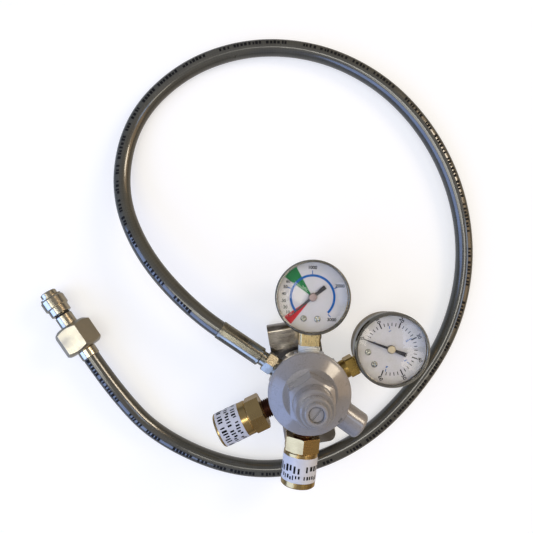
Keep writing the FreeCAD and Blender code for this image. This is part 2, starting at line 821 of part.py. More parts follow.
def make_gauge(prefix, angle, hub_reach, window_radius, socket_flats, socket_start, screw_spots):
    """A two inch gauge: case, bezel, lens, dial, pointer, socket, tube and movement."""
    frame = upright_frame(angle, hub_reach, angle.value - 90.0)
    port = port_frame(angle)
    case = turned(f"{prefix}_case_cup", [
        (0, dim.case_low),
        (dim.case_radius - 2.0, dim.case_low),
        (dim.case_radius, dim.case_low + 2.0),
        (dim.case_radius, dim.case_high),
        (dim.case_radius - dim.case_wall, dim.case_high),
        (dim.case_radius - dim.case_wall, dim.case_low + 2.5),
        (dim.case_radius - 2.5, dim.case_low + dim.case_wall),
        (0, dim.case_low + dim.case_wall),
    ])
    case.Placement = frame
    neck_hole = cylinder(f"{prefix}_neck_hole", dim.socket_neck_radius + FIT,
                         hub_reach - dim.case_radius - dim.case_wall,
                         hub_reach - dim.case_radius + dim.case_wall * 4, port)
    keep(cut_away(f"{prefix}_case_drilled", case, [neck_hole]), f"{prefix}_case")

    bezel = turned(f"{prefix}_bezel_ring", [
        (dim.case_radius + FIT, dim.bezel_low),
        (dim.bezel_radius, dim.bezel_low),
        (dim.bezel_radius, dim.bezel_high - dim.bezel_round),
        (dim.bezel_radius - 0.9, dim.bezel_high),
        (window_radius + 0.3, dim.bezel_high),
        (window_radius, dim.bezel_high - 0.4),
        (window_radius, dim.lens_edge + 0.2),
        (dim.case_radius + FIT, dim.lens_edge + 0.2),
    ])
    keep(bezel, f"{prefix}_bezel", frame)

    ball_radius = (dim.lens_radius.value ** 2 + dim.lens_crown.value ** 2) / 2 / dim.lens_crown.value
    crown_top = dim.lens_edge + dim.lens_crown
    blank = cylinder(f"{prefix}_lens_blank", dim.lens_radius, dim.lens_low, crown_top)
    balls = []
    for side, drop in (("top", 0.0), ("under", dim.lens_thickness.value)):
        ball = doc.addObject("Part::Sphere", f"{prefix}_lens_{side}")
        bind(ball, "Radius", ball_radius)
        ball.Placement = FreeCAD.Placement(UP * (crown_top.value - ball_radius - drop),
                                           FreeCAD.Rotation())
        balls.append(ball)
    crowned = doc.addObject("Part::Common", f"{prefix}_lens_crowned")
    crowned.Base = blank
    crowned.Tool = balls[0]
    keep(cut_away(f"{prefix}_lens_hollow", crowned, [balls[1]]), f"{prefix}_lens", frame)

    dial = cylinder(f"{prefix}_dial_disc", dim.dial_radius, dim.dial_low, dim.dial_high)
    dial_hole = cylinder(f"{prefix}_dial_hole", dim.arbor_radius + 0.8, dim.dial_low - 1.0,
                         dim.dial_high + 1.0)
    keep(cut_away(f"{prefix}_dial_plate", dial, [dial_hole]), f"{prefix}_dial", frame)

    screws = []
    for i, (x, y) in enumerate(screw_spots):
        screw = turned(f"{prefix}_dial_screw_{i}", [
            (0, dim.dial_high),
            (dim.dial_screw_radius, dim.dial_high),
            (dim.dial_screw_radius - 0.4, dim.dial_screw_high),
            (0, dim.dial_screw_high),
        ])
        slot_cut(screw, dim.dial_screw_slot, dim.dial_screw_radius * 4, dim.dial_screw_high,
                 dim.dial_screw_slot * 0.7)
        turn = FreeCAD.Rotation(UP, DIAL_SCREW_TURN * i)
        screw.Placement = FreeCAD.Placement(FreeCAD.Vector(x, y, 0), turn)
        screws.append(screw)
    pair = doc.addObject("Part::Compound", f"{prefix}_dial_screw_pair")
    pair.Links = screws
    keep(pair, f"{prefix}_dial_screws", frame)

    make_pointer(prefix, frame)

    shoulder = hub_reach - dim.case_radius - dim.socket_shoulder
    tip = hub_reach - dim.socket_tip
    socket = turned(f"{prefix}_socket_turned", [
        (dim.passage_radius, dim.thread_start),
        (dim.thread_radius, dim.thread_start),
        (dim.thread_radius, socket_start),
        (socket_flats * SQUARE_CORNER, socket_start),
        (socket_flats * SQUARE_CORNER, shoulder),
        (dim.socket_neck_radius, shoulder),
        (dim.socket_neck_radius, tip),
        (0, tip),
        (0, tip - dim.socket_tip_wall),
        (dim.passage_radius, tip - dim.socket_tip_wall),
    ])
    mill(socket, 4, socket_flats, socket_start, shoulder, socket_flats, phase=45.0)
    keep(socket, f"{prefix}_socket", port)

    tube = turned(f"{prefix}_bourdon_coil", [
        (dim.tube_inner, dim.tube_low),
        (dim.tube_outer, dim.tube_low),
        (dim.tube_outer, dim.tube_high),
        (dim.tube_inner, dim.tube_high),
    ], sweep=dim.tube_sweep)
    root = FreeCAD.Placement(FreeCAD.Vector(), FreeCAD.Rotation(UP, TUBE_ROOT_ANGLE))
    keep(tube, f"{prefix}_bourdon_tube", frame.multiply(root))
    make_movement(prefix, frame)


def make_pointer(prefix, frame):
    """The pointer: a tapered needle, a heavy tail, a round hub and its arbor."""
    hub_top = dim.pointer_low + dim.pointer_hub_thickness
    body = turned(f"{prefix}_pointer_arbor", [
        (0, dim.arbor_low),
        (dim.arbor_radius, dim.arbor_low),
        (dim.arbor_radius, dim.pointer_low),
        (dim.pointer_hub, dim.pointer_low),
        (dim.pointer_hub, hub_top - SMALL_CHAMFER),
        (dim.pointer_hub - SMALL_CHAMFER, hub_top),
        (0, hub_top),
    ])
    blade = new_sketch(body, f"{prefix}_pointer_blade")
    bind(blade, "AttachmentOffset.Base.z", dim.pointer_low)
    tail = -dim.pointer_tail
    one_side = [
        (tail, dim.pointer_tail_width * 0.5),
        (tail * 0.35, dim.pointer_waist_width * 0.5),
        (dim.pointer_length * 0.25, dim.pointer_blade_width * 0.5),
        (dim.pointer_length, dim.pointer_tip_width * 0.5),
    ]
    outline(blade, [(x, -y) for x, y in one_side] + one_side[::-1])
    pad = body.newObject("PartDesign::Pad", f"{prefix}_pointer_pad")
    pad.Profile = blade
    bind(pad, "Length", dim.pointer_thickness)
    at_zero = FreeCAD.Placement(FreeCAD.Vector(), FreeCAD.Rotation(UP, dim.pointer_zero.value))
    keep(body, f"{prefix}_pointer", frame.multiply(at_zero))


def make_movement(prefix, frame):
    """The plate that carries the pointer's arbor, standing on the end of the socket."""
    body = doc.addObject("PartDesign::Body", f"{prefix}_movement_frame")
    plan = new_sketch(body, f"{prefix}_movement_plan")
    bind(plan, "AttachmentOffset.Base.z", dim.movement_low)
    foot, side = dim.movement_foot_width * 0.5, dim.movement_width * 0.5
    outline(plan, [
        (-foot, -dim.movement_foot),
        (foot, -dim.movement_foot),
        (side, -dim.movement_waist),
        (side, dim.movement_top),
        (-side, dim.movement_top),
        (-side, -dim.movement_waist),
    ])
    ring_line(plan, dim.arbor_radius + FIT)
    pad = body.newObject("PartDesign::Pad", f"{prefix}_movement_plate")
    pad.Profile = plan
    bind(pad, "Length", dim.movement_high - dim.movement_low)
    keep(body, f"{prefix}_movement", frame)


# ---------------------------------------------------------------- outlet and relief valves

def make_outlet_valve(prefix, angle, depth, label_start, label_end):
    """A self-closing outlet valve, screwed in to a depth: body, label, poppet and spring."""
    frame = port_frame(angle).multiply(FreeCAD.Placement(UP * -depth, FreeCAD.Rotation()))
    hex_corner = dim.valve_hex_flats * (0.5 / math.cos(math.pi / 6))
    body = turned(f"{prefix}_valve_turned", [
        (dim.valve_bore, dim.thread_start),
        (dim.thread_radius, dim.thread_start),
    ] + grooves(dim.boss_reach, dim.valve_hex_start, dim.thread_radius, THREAD_DEPTH, 6) + [
        (dim.thread_radius, dim.valve_hex_start),
        (hex_corner - CHAMFER, dim.valve_hex_start),
        (hex_corner, dim.valve_hex_start + SMALL_CHAMFER),
        (hex_corner, dim.valve_hex_end - SMALL_CHAMFER),
        (hex_corner - CHAMFER, dim.valve_hex_end),
        (dim.valve_radius - SMALL_CHAMFER, dim.valve_hex_end),
        (dim.valve_radius - SMALL_CHAMFER, dim.valve_hex_end + SMALL_CHAMFER),
        (dim.valve_radius, dim.valve_hex_end + CHAMFER),
        (dim.valve_radius, dim.valve_end - 0.8),
        (dim.valve_radius - 0.8, dim.valve_end),
        (dim.valve_outlet_bore + 1.0, dim.valve_end),
        (dim.valve_outlet_bore, dim.valve_end - 1.0),
        (dim.valve_outlet_bore, dim.valve_retainer_end),
        (dim.valve_chamber, dim.valve_retainer_end),
        (dim.valve_chamber, dim.valve_seat),
        (dim.valve_bore + 1.0, dim.valve_seat),
        (dim.valve_bore, dim.valve_seat - 1.5),
    ])
    mill(body, 6, dim.valve_hex_flats, dim.valve_hex_start, dim.valve_hex_end, hex_corner + 2.0)
    keep(body, f"{prefix}_valve_body", frame)
    keep(turned(f"{prefix}_valve_label_wrap", [
        (dim.valve_radius, label_start),
        (dim.valve_radius + dim.label_thickness, label_start),
        (dim.valve_radius + dim.label_thickness, label_end),
        (dim.valve_radius, label_end),
    ]), f"{prefix}_valve_label", frame)
    poppet_top = dim.valve_seat + 3.2
    keep(turned(f"{prefix}_valve_poppet_turned", [
        (0, dim.valve_seat + GAP),
        (dim.valve_poppet_radius - CHAMFER, dim.valve_seat + GAP),
        (dim.valve_poppet_radius, dim.valve_seat + CHAMFER),
        (dim.valve_poppet_radius, poppet_top),
        (dim.valve_poppet_radius - 3.0, poppet_top),
        (dim.valve_poppet_radius - 3.6, poppet_top + 4.0),
        (0, poppet_top + 4.0),
    ]), f"{prefix}_valve_poppet", frame)
    coil(f"{prefix}_valve_spring", dim.valve_poppet_radius - 1.4, size(0.5), poppet_top,
         dim.valve_retainer_start, 5, frame)
    keep(turned(f"{prefix}_valve_retainer_ring", [
        (dim.valve_poppet_radius - 2.6, dim.valve_retainer_start),
        (dim.valve_chamber - FIT, dim.valve_retainer_start),
        (dim.valve_chamber - FIT, dim.valve_retainer_end),
        (dim.valve_poppet_radius - 1.6, dim.valve_retainer_end),
    ]), f"{prefix}_valve_retainer", frame)


def make_relief_valve():
    """The painted relief cap with its poppet and spring."""
    frame = FRAMES["relief"]
    cap = turned("relief_cap_turned", [
        (dim.passage_radius + 1.0, dim.thread_start),
        (dim.thread_radius, dim.thread_start),
        (dim.thread_radius, dim.relief_flange_start),
        (dim.relief_flange_radius, dim.relief_flange_start),
        (dim.relief_flange_radius, dim.relief_flange_end),
        (dim.relief_radius, dim.relief_flange_end + SMALL_CHAMFER),
        (dim.relief_radius, dim.relief_end),
        (dim.relief_vent, dim.relief_end),
        (dim.relief_vent, dim.relief_end - dim.relief_wall),
        (dim.relief_cavity, dim.relief_end - dim.relief_wall),
        (dim.relief_cavity, dim.relief_seat),
        (dim.passage_radius + 1.0, dim.relief_seat),
    ])
    turn = cap.Tip
    rounded(cap, turn, dim.relief_round, rim(dim.relief_radius, dim.relief_end))
    keep(cap, "relief_cap", frame)
    poppet_top = dim.relief_seat + 2.6
    keep(turned("relief_poppet_turned", [
        (0, dim.relief_seat + GAP),
        (dim.relief_cavity - 0.8, dim.relief_seat + GAP),
        (dim.relief_cavity - 0.8, poppet_top),
        (dim.relief_cavity - 4.0, poppet_top),
        (dim.relief_cavity - 4.6, poppet_top + 3.0),
        (0, poppet_top + 3.0),
    ]), "relief_poppet", frame)
    coil("relief_spring", dim.relief_cavity - 2.2, size(0.45), poppet_top,
         dim.relief_end - dim.relief_wall, 5, frame)


# ---------------------------------------------------------------- hose and fittings

def make_hose_fittings():
    """The fixed adapter with its crimped ferrule at the regulator's inlet."""
    frame = FRAMES["hose"]
    hex_corner = dim.adapter_flats * (0.5 / math.cos(math.pi / 6))
    adapter = turned("hose_adapter_turned", [
        (dim.hose_bore, dim.thread_start),
        (dim.thread_radius, dim.thread_start),
        (dim.thread_radius, dim.adapter_hex_start),
        (hex_corner - 0.8, dim.adapter_hex_start),
        (hex_corner, dim.adapter_hex_start + 0.8),
        (hex_corner, dim.adapter_hex_end - 0.8),
        (hex_corner - 0.8, dim.adapter_hex_end),
        (dim.adapter_neck_radius, dim.adapter_hex_end),
        (dim.adapter_neck_radius, dim.ferrule_start),
        (dim.barb_radius, dim.ferrule_start),
        (dim.barb_radius, dim.ferrule_end - 3.0),
        (dim.hose_bore, dim.ferrule_end - 3.0),
    ])
    mill(adapter, 6, dim.adapter_flats, dim.adapter_hex_start, dim.adapter_hex_end,
         hex_corner + 1.0)
    keep(adapter, "hose_adapter", frame)
    ferrule = turned("hose_ferrule_turned", [
        (dim.barb_radius + FIT, dim.ferrule_start),
        (dim.ferrule_radius - 0.7, dim.ferrule_start),
        (dim.ferrule_radius, dim.ferrule_start + 0.8),
        (dim.ferrule_radius, dim.ferrule_end - 0.6),
        (dim.ferrule_radius - 0.5, dim.ferrule_end),
        (dim.hose_bore, dim.ferrule_end),
        (dim.hose_bore, dim.ferrule_end - 3.0),
        (dim.barb_radius + FIT, dim.ferrule_end - 3.0),
    ])
    mill(ferrule, 8, dim.ferrule_flats, dim.ferrule_start + 2.5, dim.ferrule_end - 2.5,
         dim.ferrule_radius + 1.0, phase=22.5)
    keep(ferrule, "hose_ferrule", frame)


def end_frame():
    """The end fitting's frame: +Z runs from the hose's last face to the tip."""
    turn = FreeCAD.Rotation(UP, dim.end_fitting_angle.value)
    out = turn.multiply(FreeCAD.Rotation(FreeCAD.Vector(0, 1, 0), 90))
    base = FreeCAD.Vector(dim.end_fitting_x.value, dim.end_fitting_y.value,
                          dim.end_axis_height.value)
    return FreeCAD.Placement(base, out)


def make_end_fitting():
    """The plated swivel nut, the probe with its check valve, and the crimped ferrule."""
    frame = end_frame()
    keep(turned("end_ferrule_turned", [
        (dim.barb_radius, 1.0),
        (dim.hose_bore, 1.0),
        (dim.hose_bore, 0),
        (dim.ferrule_radius - 0.5, 0),
        (dim.ferrule_radius, 0.6),
        (dim.ferrule_radius, dim.end_ferrule_end - 1.0),
        (dim.ferrule_radius - 0.8, dim.end_ferrule_end - 0.2),
        (dim.barb_radius, dim.end_ferrule_end - 0.2),
    ]), "end_ferrule", frame)
    shoulder_start = dim.end_ferrule_end + dim.nut_wall + FIT
    keep(turned("end_nipple_turned", [
        (dim.hose_bore, 1.0),
        (dim.barb_radius, 1.0),
        (dim.barb_radius, dim.end_ferrule_end - 0.2),
        (dim.nipple_radius, dim.end_ferrule_end - 0.2),
        (dim.nipple_radius, shoulder_start),
        (dim.nipple_shoulder, shoulder_start),
        (dim.nipple_shoulder, dim.probe_start),
        (dim.hose_bore, dim.probe_start),
    ]), "end_nipple", frame)
    nut_corner = dim.nut_flats * (0.5 / math.cos(math.pi / 6))
    nut = turned("end_nut_turned", [
        (dim.nut_bore, dim.end_ferrule_end),
        (nut_corner - 3.2, dim.end_ferrule_end),
        (nut_corner, dim.end_ferrule_end + 2.2),
        (nut_corner, dim.nut_end - 3.2),
        (nut_corner - 4.4, dim.nut_end),
        (dim.nut_cavity + 0.6, dim.nut_end),
        (dim.nut_cavity, dim.nut_end - 0.6),
        (dim.nut_cavity, dim.end_ferrule_end + dim.nut_wall),
        (dim.nut_bore, dim.end_ferrule_end + dim.nut_wall),
    ])
    mill(nut, 6, dim.nut_flats, dim.end_ferrule_end, dim.nut_end, nut_corner + 2.0, phase=30.0)
    keep(nut, "end_nut", frame)
    keep(turned("probe_body_turned", [
        (dim.hose_bore, dim.probe_start),
        (dim.nut_cavity - 0.1, dim.probe_start),
        (dim.nut_cavity - 0.1, dim.nut_end - 3.0),
        (dim.probe_neck_radius, dim.nut_end - 3.0),
        (dim.probe_neck_radius, dim.groove_start),
        (dim.groove_radius, dim.groove_start),
        (dim.groove_radius, dim.groove_end),
        (dim.second_ring_radius - 0.5, dim.groove_end),
        (dim.second_ring_radius, dim.groove_end + 0.5),
        (dim.second_ring_radius, dim.second_ring_end),
        (dim.large_ring_radius - 0.8, dim.second_ring_end),
        (dim.large_ring_radius, dim.second_ring_end + 0.8),
        (dim.large_ring_radius, dim.large_ring_end - 0.8),
        (dim.large_ring_radius - 0.8, dim.large_ring_end),
        (dim.tip_radius, dim.large_ring_end),
        (dim.tip_radius, dim.large_ring_end + 0.4),
        (dim.flange_radius, dim.large_ring_end + 0.4),
        (dim.flange_radius, dim.flange_end),
        (dim.tip_radius, dim.flange_end),
        (dim.tip_radius, dim.tip_end - 0.6),
        (dim.tip_radius - 0.6, dim.tip_end),
        (dim.probe_nose_radius + 0.5, dim.tip_end),
        (dim.probe_nose_radius + 0.5, dim.probe_seat),
        (dim.probe_chamber, dim.probe_seat),
        (dim.probe_chamber, dim.groove_end + 1.6),
        (dim.probe_nose_radius + 0.2, dim.groove_end + 1.6),
        (dim.probe_nose_radius + 0.2, dim.groove_start - 1.6),
        (dim.probe_chamber, dim.groove_start - 1.6),
        (dim.probe_chamber, dim.probe_chamber_start),
        (dim.hose_bore, dim.probe_chamber_start),
    ]), "probe_body", frame)
    poppet_back = dim.probe_seat - 4.0
    keep(turned("probe_poppet_turned", [
        (0, poppet_back),
        (dim.probe_poppet_radius, poppet_back),
        (dim.probe_poppet_radius, dim.probe_seat - 1.0),
        (dim.probe_nose_radius, dim.probe_seat - GAP),
        (dim.probe_nose_radius, dim.tip_end - 1.2),
        (dim.probe_nose_radius - 0.6, dim.tip_end - 0.6),
        (0, dim.tip_end - 0.6),
    ]), "probe_poppet", frame)
    coil("probe_spring", dim.probe_poppet_radius - 0.7, size(0.4), dim.groove_end + 1.6,
         poppet_back, 4, frame)
    ring = doc.addObject("Part::Torus", "probe_oring_torus")
    section = (dim.groove_end - dim.groove_start) * 0.36
    bind(ring, "Radius2", section)
    bind(ring, "Radius1", dim.groove_radius + section)
    middle = (dim.groove_start.value + dim.groove_end.value) / 2
    keep(ring, "probe_oring", frame.multiply(FreeCAD.Placement(UP * middle, FreeCAD.Rotation())))


def rounded_path(points):
    """Straight runs joined by tangent arcs, each as large as its two runs allow."""
    edges = []
    radii = []
    at = points[0]
    for before, corner, after in zip(points, points[1:], points[2:]):
        back, on = (before - corner), (after - corner)
        trim = 0.45 * min(back.Length, on.Length)
        half_turn = (math.pi - back.getAngle(on)) / 2
        radius = trim / math.tan(half_turn)
        radii.append(radius)
        first = corner + back.normalize() * trim
        last = corner + on.normalize() * trim
        inward = (first + last) * 0.5 - corner
        to_centre = radius / math.cos(half_turn)
        middle = corner + inward.normalize() * (to_centre - radius)
        edges.append(Part.LineSegment(at, first).toShape())
        edges.append(Part.Arc(first, middle, last).toShape())
        at = last
    edges.append(Part.LineSegment(at, points[-1]).toShape())
    return Part.Wire(edges), radii


def make_hose():
    """The hose's tube, from the ferrule at the regulator to the end fitting."""
    start = FRAMES["hose"].multVec(UP * dim.ferrule_end.value)
    finish = end_frame().Base
    points = [start] + [FreeCAD.Vector(*point) for point in ROUTE] + [finish]
    path, radii = rounded_path(points)
    section = Part.Wire(Part.Circle(start, points[1] - start, dim.hose_radius.value).toShape())
    tube = path.makePipeShell([section], True, True)
    hose = doc.addObject("Part::Feature", "hose_tube")
    hose.Shape = tube
    keep(hose, "hose", FreeCAD.Placement())
    print("hose bend radii:", [round(radius) for radius in radii])
    expected = math.pi * dim.hose_radius.value ** 2 * path.Length
    print("hose length", round(path.Length, 1), "volume share", round(tube.Volume / expected, 4))


# ---------------------------------------------------------------- the whole assembly

# Dial screw places in each gauge's own frame, whose -Y points at the regulator.
TANK_DIAL_SCREWS = [(-5.9, -15.4), (3.9, -15.6)]
OUTLET_DIAL_SCREWS = [(-5.2, -16.2), (5.0, -16.2)]

make_regulator_body()
make_valve_parts()
make_bonnet()
make_adjuster()
make_bracket()
make_bracket_screws()
make_gauge("tank_gauge", dim.tank_port_angle, dim.tank_hub_reach, dim.tank_window_radius,
           dim.tank_socket_flats, dim.tank_socket_start, TANK_DIAL_SCREWS)
make_gauge("outlet_gauge", dim.outlet_port_angle, dim.outlet_hub_reach,
           dim.outlet_window_radius, dim.outlet_socket_flats, dim.outlet_socket_start,
           OUTLET_DIAL_SCREWS)
keep(turned("thread_tape_wrap", [
    (dim.thread_radius, dim.boss_reach + GAP),
    (dim.tape_radius, dim.boss_reach + GAP),
    (dim.tape_radius, dim.tank_socket_start - GAP),
    (dim.thread_radius, dim.tank_socket_start - GAP),
]), "thread_tape", FRAMES["tank"])
make_outlet_valve("left", dim.left_port_angle, 0.0, dim.left_label_start,
                  dim.left_label_end)
make_outlet_valve("lower", dim.lower_port_angle, dim.lower_valve_depth.value,
                  dim.lower_label_start, dim.lower_label_end)
make_relief_valve()
make_hose_fittings()
make_end_fitting()
make_hose()

doc.recompute()
for thing in doc.Objects:
    if "Invalid" in thing.State or "Error" in thing.State:
        raise RuntimeError(f"{thing.Name} failed: {thing.State}")
for label, thing in nodes.items():
    if thing.Shape.isNull() or not thing.Shape.isValid():
        raise RuntimeError(f"{label} has no valid shape")
os.makedirs("parts", exist_ok=True)
for label, thing in nodes.items():
    thing.Shape.exportStep(f"parts/{label}.step")
print(len(nodes), "parts written")
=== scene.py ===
import json
import math
import random

import bpy
from mathutils import Matrix, Vector


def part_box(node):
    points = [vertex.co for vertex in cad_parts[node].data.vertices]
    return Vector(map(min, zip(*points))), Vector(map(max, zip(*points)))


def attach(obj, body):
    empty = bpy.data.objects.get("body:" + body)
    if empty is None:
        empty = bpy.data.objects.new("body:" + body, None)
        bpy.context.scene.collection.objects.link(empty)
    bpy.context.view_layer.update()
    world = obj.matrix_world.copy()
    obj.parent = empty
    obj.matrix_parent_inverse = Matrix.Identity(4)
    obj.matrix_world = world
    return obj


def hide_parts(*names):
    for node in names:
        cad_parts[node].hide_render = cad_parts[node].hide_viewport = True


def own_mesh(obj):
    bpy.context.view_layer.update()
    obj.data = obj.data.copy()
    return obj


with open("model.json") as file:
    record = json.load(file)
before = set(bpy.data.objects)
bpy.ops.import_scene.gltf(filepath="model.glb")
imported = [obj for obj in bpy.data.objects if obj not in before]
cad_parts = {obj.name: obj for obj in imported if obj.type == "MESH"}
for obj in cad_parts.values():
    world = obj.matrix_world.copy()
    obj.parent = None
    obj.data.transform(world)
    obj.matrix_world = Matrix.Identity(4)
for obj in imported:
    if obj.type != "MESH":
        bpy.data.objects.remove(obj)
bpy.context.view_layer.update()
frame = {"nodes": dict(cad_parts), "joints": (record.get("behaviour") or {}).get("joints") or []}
nodes = frame["nodes"]
scene = bpy.context.scene
scene.view_settings.view_transform = "Standard"

UP = Vector((0, 0, 1))
PORT_HEIGHT = 0.034
LEFT_ANGLE = math.radians(205.5)
LOWER_ANGLE = math.radians(-96.2)
HOSE_ANGLE = math.radians(146.0)
TANK_ANGLE = math.radians(88.0)
OUTLET_ANGLE = math.radians(28.2)
RELIEF_ANGLE = math.radians(-35.7)
BRACKET_ANGLE = math.radians(9.0)
END_ANGLE = math.radians(124.5)
END_BASE = Vector((-0.1679, 0.0203, 0.0135))
GAUGES = ("tank_gauge", "outlet_gauge")


def heading(angle):
    """The level unit vector at an angle from +X."""
    return Vector((math.cos(angle), math.sin(angle), 0.0))


# ---------------------------------------------------------------- camera

camera_data = bpy.data.cameras.new("camera")
camera_data.lens = 35.03
camera_data.clip_start = 0.02
camera = bpy.data.objects.new("camera", camera_data)
camera.location = (-0.0307, 0.0909, 0.420)
scene.collection.objects.link(camera)
scene.camera = camera

# ---------------------------------------------------------------- hose

HOSE_RADIUS = 0.0065
HOSE_LENGTH = 1.0
HOSE_ROUTE = [
    (-0.065494, 0.044176, 0.034),
    (-0.08705, 0.05872, 0.034),
    (-0.1264, 0.1024, 0.0285),
    (-0.1474, 0.1527, 0.0135),
    (-0.1374, 0.2092, 0.0065),
    (-0.0969, 0.2489, 0.0065),
    (-0.0439, 0.2669, 0.0065),
    (0.012, 0.2627, 0.0065),
    (0.0621, 0.238, 0.0065),
    (0.1, 0.1972, 0.0065),
    (0.1231, 0.1463, 0.0065),
    (0.1288, 0.0909, 0.0065),
    (0.1155, 0.0365, 0.0065),
    (0.0853, -0.0095, 0.0065),
    (0.045, -0.0486, 0.0065),
    (-0.007, -0.0707, 0.0065),
    (-0.0604, -0.0697, 0.0065),
    (-0.1171, -0.0444, 0.0065),
    (-0.14842, -0.00805, 0.0135),
    (-0.1679, 0.0203, 0.0135),
]


def route_curve(name, route, radius):
    """One open NURBS spline with the route as its control points."""
    data = bpy.data.curves.new(name, "CURVE")
    data.dimensions = "3D"
    data.resolution_u = 16
    data.bevel_depth = 1.0
    data.bevel_resolution = 10
    data.use_fill_caps = True
    spline = data.splines.new("NURBS")
    spline.points.add(len(route) - 1)
    for point, place in zip(spline.points, route):
        point.co = (*place, 1.0)
        point.radius = radius
    spline.order_u = 3
    spline.use_endpoint_u = True
    made = bpy.data.objects.new(name, data)
    scene.collection.objects.link(made)
    return made


def centreline(curve):
    """The points of a curve's own line, read from it without its bevel."""
    bare = curve.copy()
    bare.data = curve.data.copy()
    bare.data.bevel_depth = 0.0
    line = bpy.data.meshes.new_from_object(bare)
    return [vertex.co.copy() for vertex in line.vertices]


hose = route_curve("hose_cover", HOSE_ROUTE, HOSE_RADIUS)
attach(hose, "regulator")
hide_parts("hose")


# ---------------------------------------------------------------- materials

PAINT_EDGE = 0.0006
STRIP_EDGE = 0.0004
METAL_EDGE = 0.00025
ENAMEL_EDGE = 0.0002
SHANK_BLEND = 0.0003
BRAID_PITCH = 0.0042
BRAID_STRANDS = 12
INK_ROUGHNESS = 0.45
TAPE_TURNS = 5200.0
TAPE_WANDER = 9.0
CAP_OUTER = 0.0030
CAP_INNER = 0.0027
CAP_RINGS = 9000.0
LENS_IOR = 1.28


class Surface:
    """A procedural material under construction, on a Principled shader."""

    def __init__(self, name, **plain):
        self.material = bpy.data.materials.new(name)
        self.material.use_nodes = True
        self.tree = self.material.node_tree
        self.shader = self.tree.nodes["Principled BSDF"]
        self.fill(self.shader, plain)
        self.place = self.tree.nodes.new("ShaderNodeTexCoord").outputs["Object"]

    def fill(self, made, inputs):
        """Sets or links a node's inputs, named with underscores for spaces."""
        for name, value in inputs.items():
            socket = made.inputs[name.replace("_", " ")]
            if isinstance(value, bpy.types.NodeSocket):
                self.tree.links.new(value, socket)
            else:
                socket.default_value = value

    def shade(self, **inputs):
        self.fill(self.shader, inputs)
        return self

    def mapped(self, centre=(0, 0, 0), angle=0.0, stretch=(1, 1, 1)):
        """Object coordinates about a centre, with X along a heading."""
        made = self.tree.nodes.new("ShaderNodeMapping")
        made.vector_type = "TEXTURE"
        self.fill(made, {
            "Vector": self.place,
            "Location": tuple(centre),
            "Rotation": (0, 0, angle),
            "Scale": tuple(1.0 / s for s in stretch),
        })
        return made.outputs["Vector"]

    def noise(self, vector, scale, detail=3.0, roughness=0.5):
        made = self.tree.nodes.new("ShaderNodeTexNoise")
        self.fill(made, {"Vector": vector, "Scale": scale, "Detail": detail,
                         "Roughness": roughness})
        return made.outputs["Fac"]

    def maths(self, operation, first, second=0.0):
        made = self.tree.nodes.new("ShaderNodeMath")
        made.operation = operation
        for socket, value in zip(made.inputs, (first, second)):
            if isinstance(value, bpy.types.NodeSocket):
                self.tree.links.new(value, socket)
            else:
                socket.default_value = value
        return made.outputs["Value"]

    def span(self, value, low, high, to_low=0.0, to_high=1.0):
        """A value's span from low to high, spread over another span."""
        made = self.tree.nodes.new("ShaderNodeMapRange")
        self.fill(made, {"Value": value, "From_Min": low, "From_Max": high,
                         "To_Min": to_low, "To_Max": to_high})
        return made.outputs["Result"]

    def mix(self, factor, first, second):
        """A mix of two colours, each plain or linked."""
        made = self.tree.nodes.new("ShaderNodeMix")
        made.data_type = "RGBA"
        ends = {"Factor": made.inputs[0], "A": made.inputs[6], "B": made.inputs[7]}
        for name, value in (("Factor", factor), ("A", first), ("B", second)):
            if isinstance(value, bpy.types.NodeSocket):
                self.tree.links.new(value, ends[name])
            elif name == "Factor":
                ends[name].default_value = value
            else:
                ends[name].default_value = (*value, 1.0)
        return made.outputs[2]

    def bump(self, height, distance, strength=1.0, normal=None):
        made = self.tree.nodes.new("ShaderNodeBump")
        self.fill(made, {"Height": height, "Distance": distance, "Strength": strength})
        if normal is not None:
            self.tree.links.new(normal, made.inputs["Normal"])
        return made.outputs["Normal"]

    def parts(self, vector):
        made = self.tree.nodes.new("ShaderNodeSeparateXYZ")
        self.fill(made, {"Vector": vector})
        return made.outputs

    def edges(self, radius):
        """Normals rounded over sharp edges."""
        made = self.tree.nodes.new("ShaderNodeBevel")
        made.samples = 4
        made.inputs["Radius"].default_value = radius
        return made.outputs["Normal"]


def painted_metal(name, colour, dust):
    """Thick semi-gloss paint with a faint orange peel and a little grime."""
    s = Surface(name, Coat_Weight=1.0, Coat_Roughness=0.13, IOR=1.5)
    broad = s.noise(s.place, 55.0, 4.0, 0.6)
    specks = s.noise(s.place, 900.0, 2.0, 0.6)
    grime = s.span(s.maths("MULTIPLY", broad, specks), 0.26, 0.42)
    worn = s.mix(s.maths("MULTIPLY", grime, 0.35), colour, dust)
    peel = s.noise(s.place, 420.0, 2.0, 0.5)
    rounded = s.edges(PAINT_EDGE)
    s.shade(Base_Color=worn, Roughness=s.span(broad, 0.3, 0.7, 0.24, 0.34),
            Normal=s.bump(peel, 0.00006, 0.5, rounded))
    return s.material


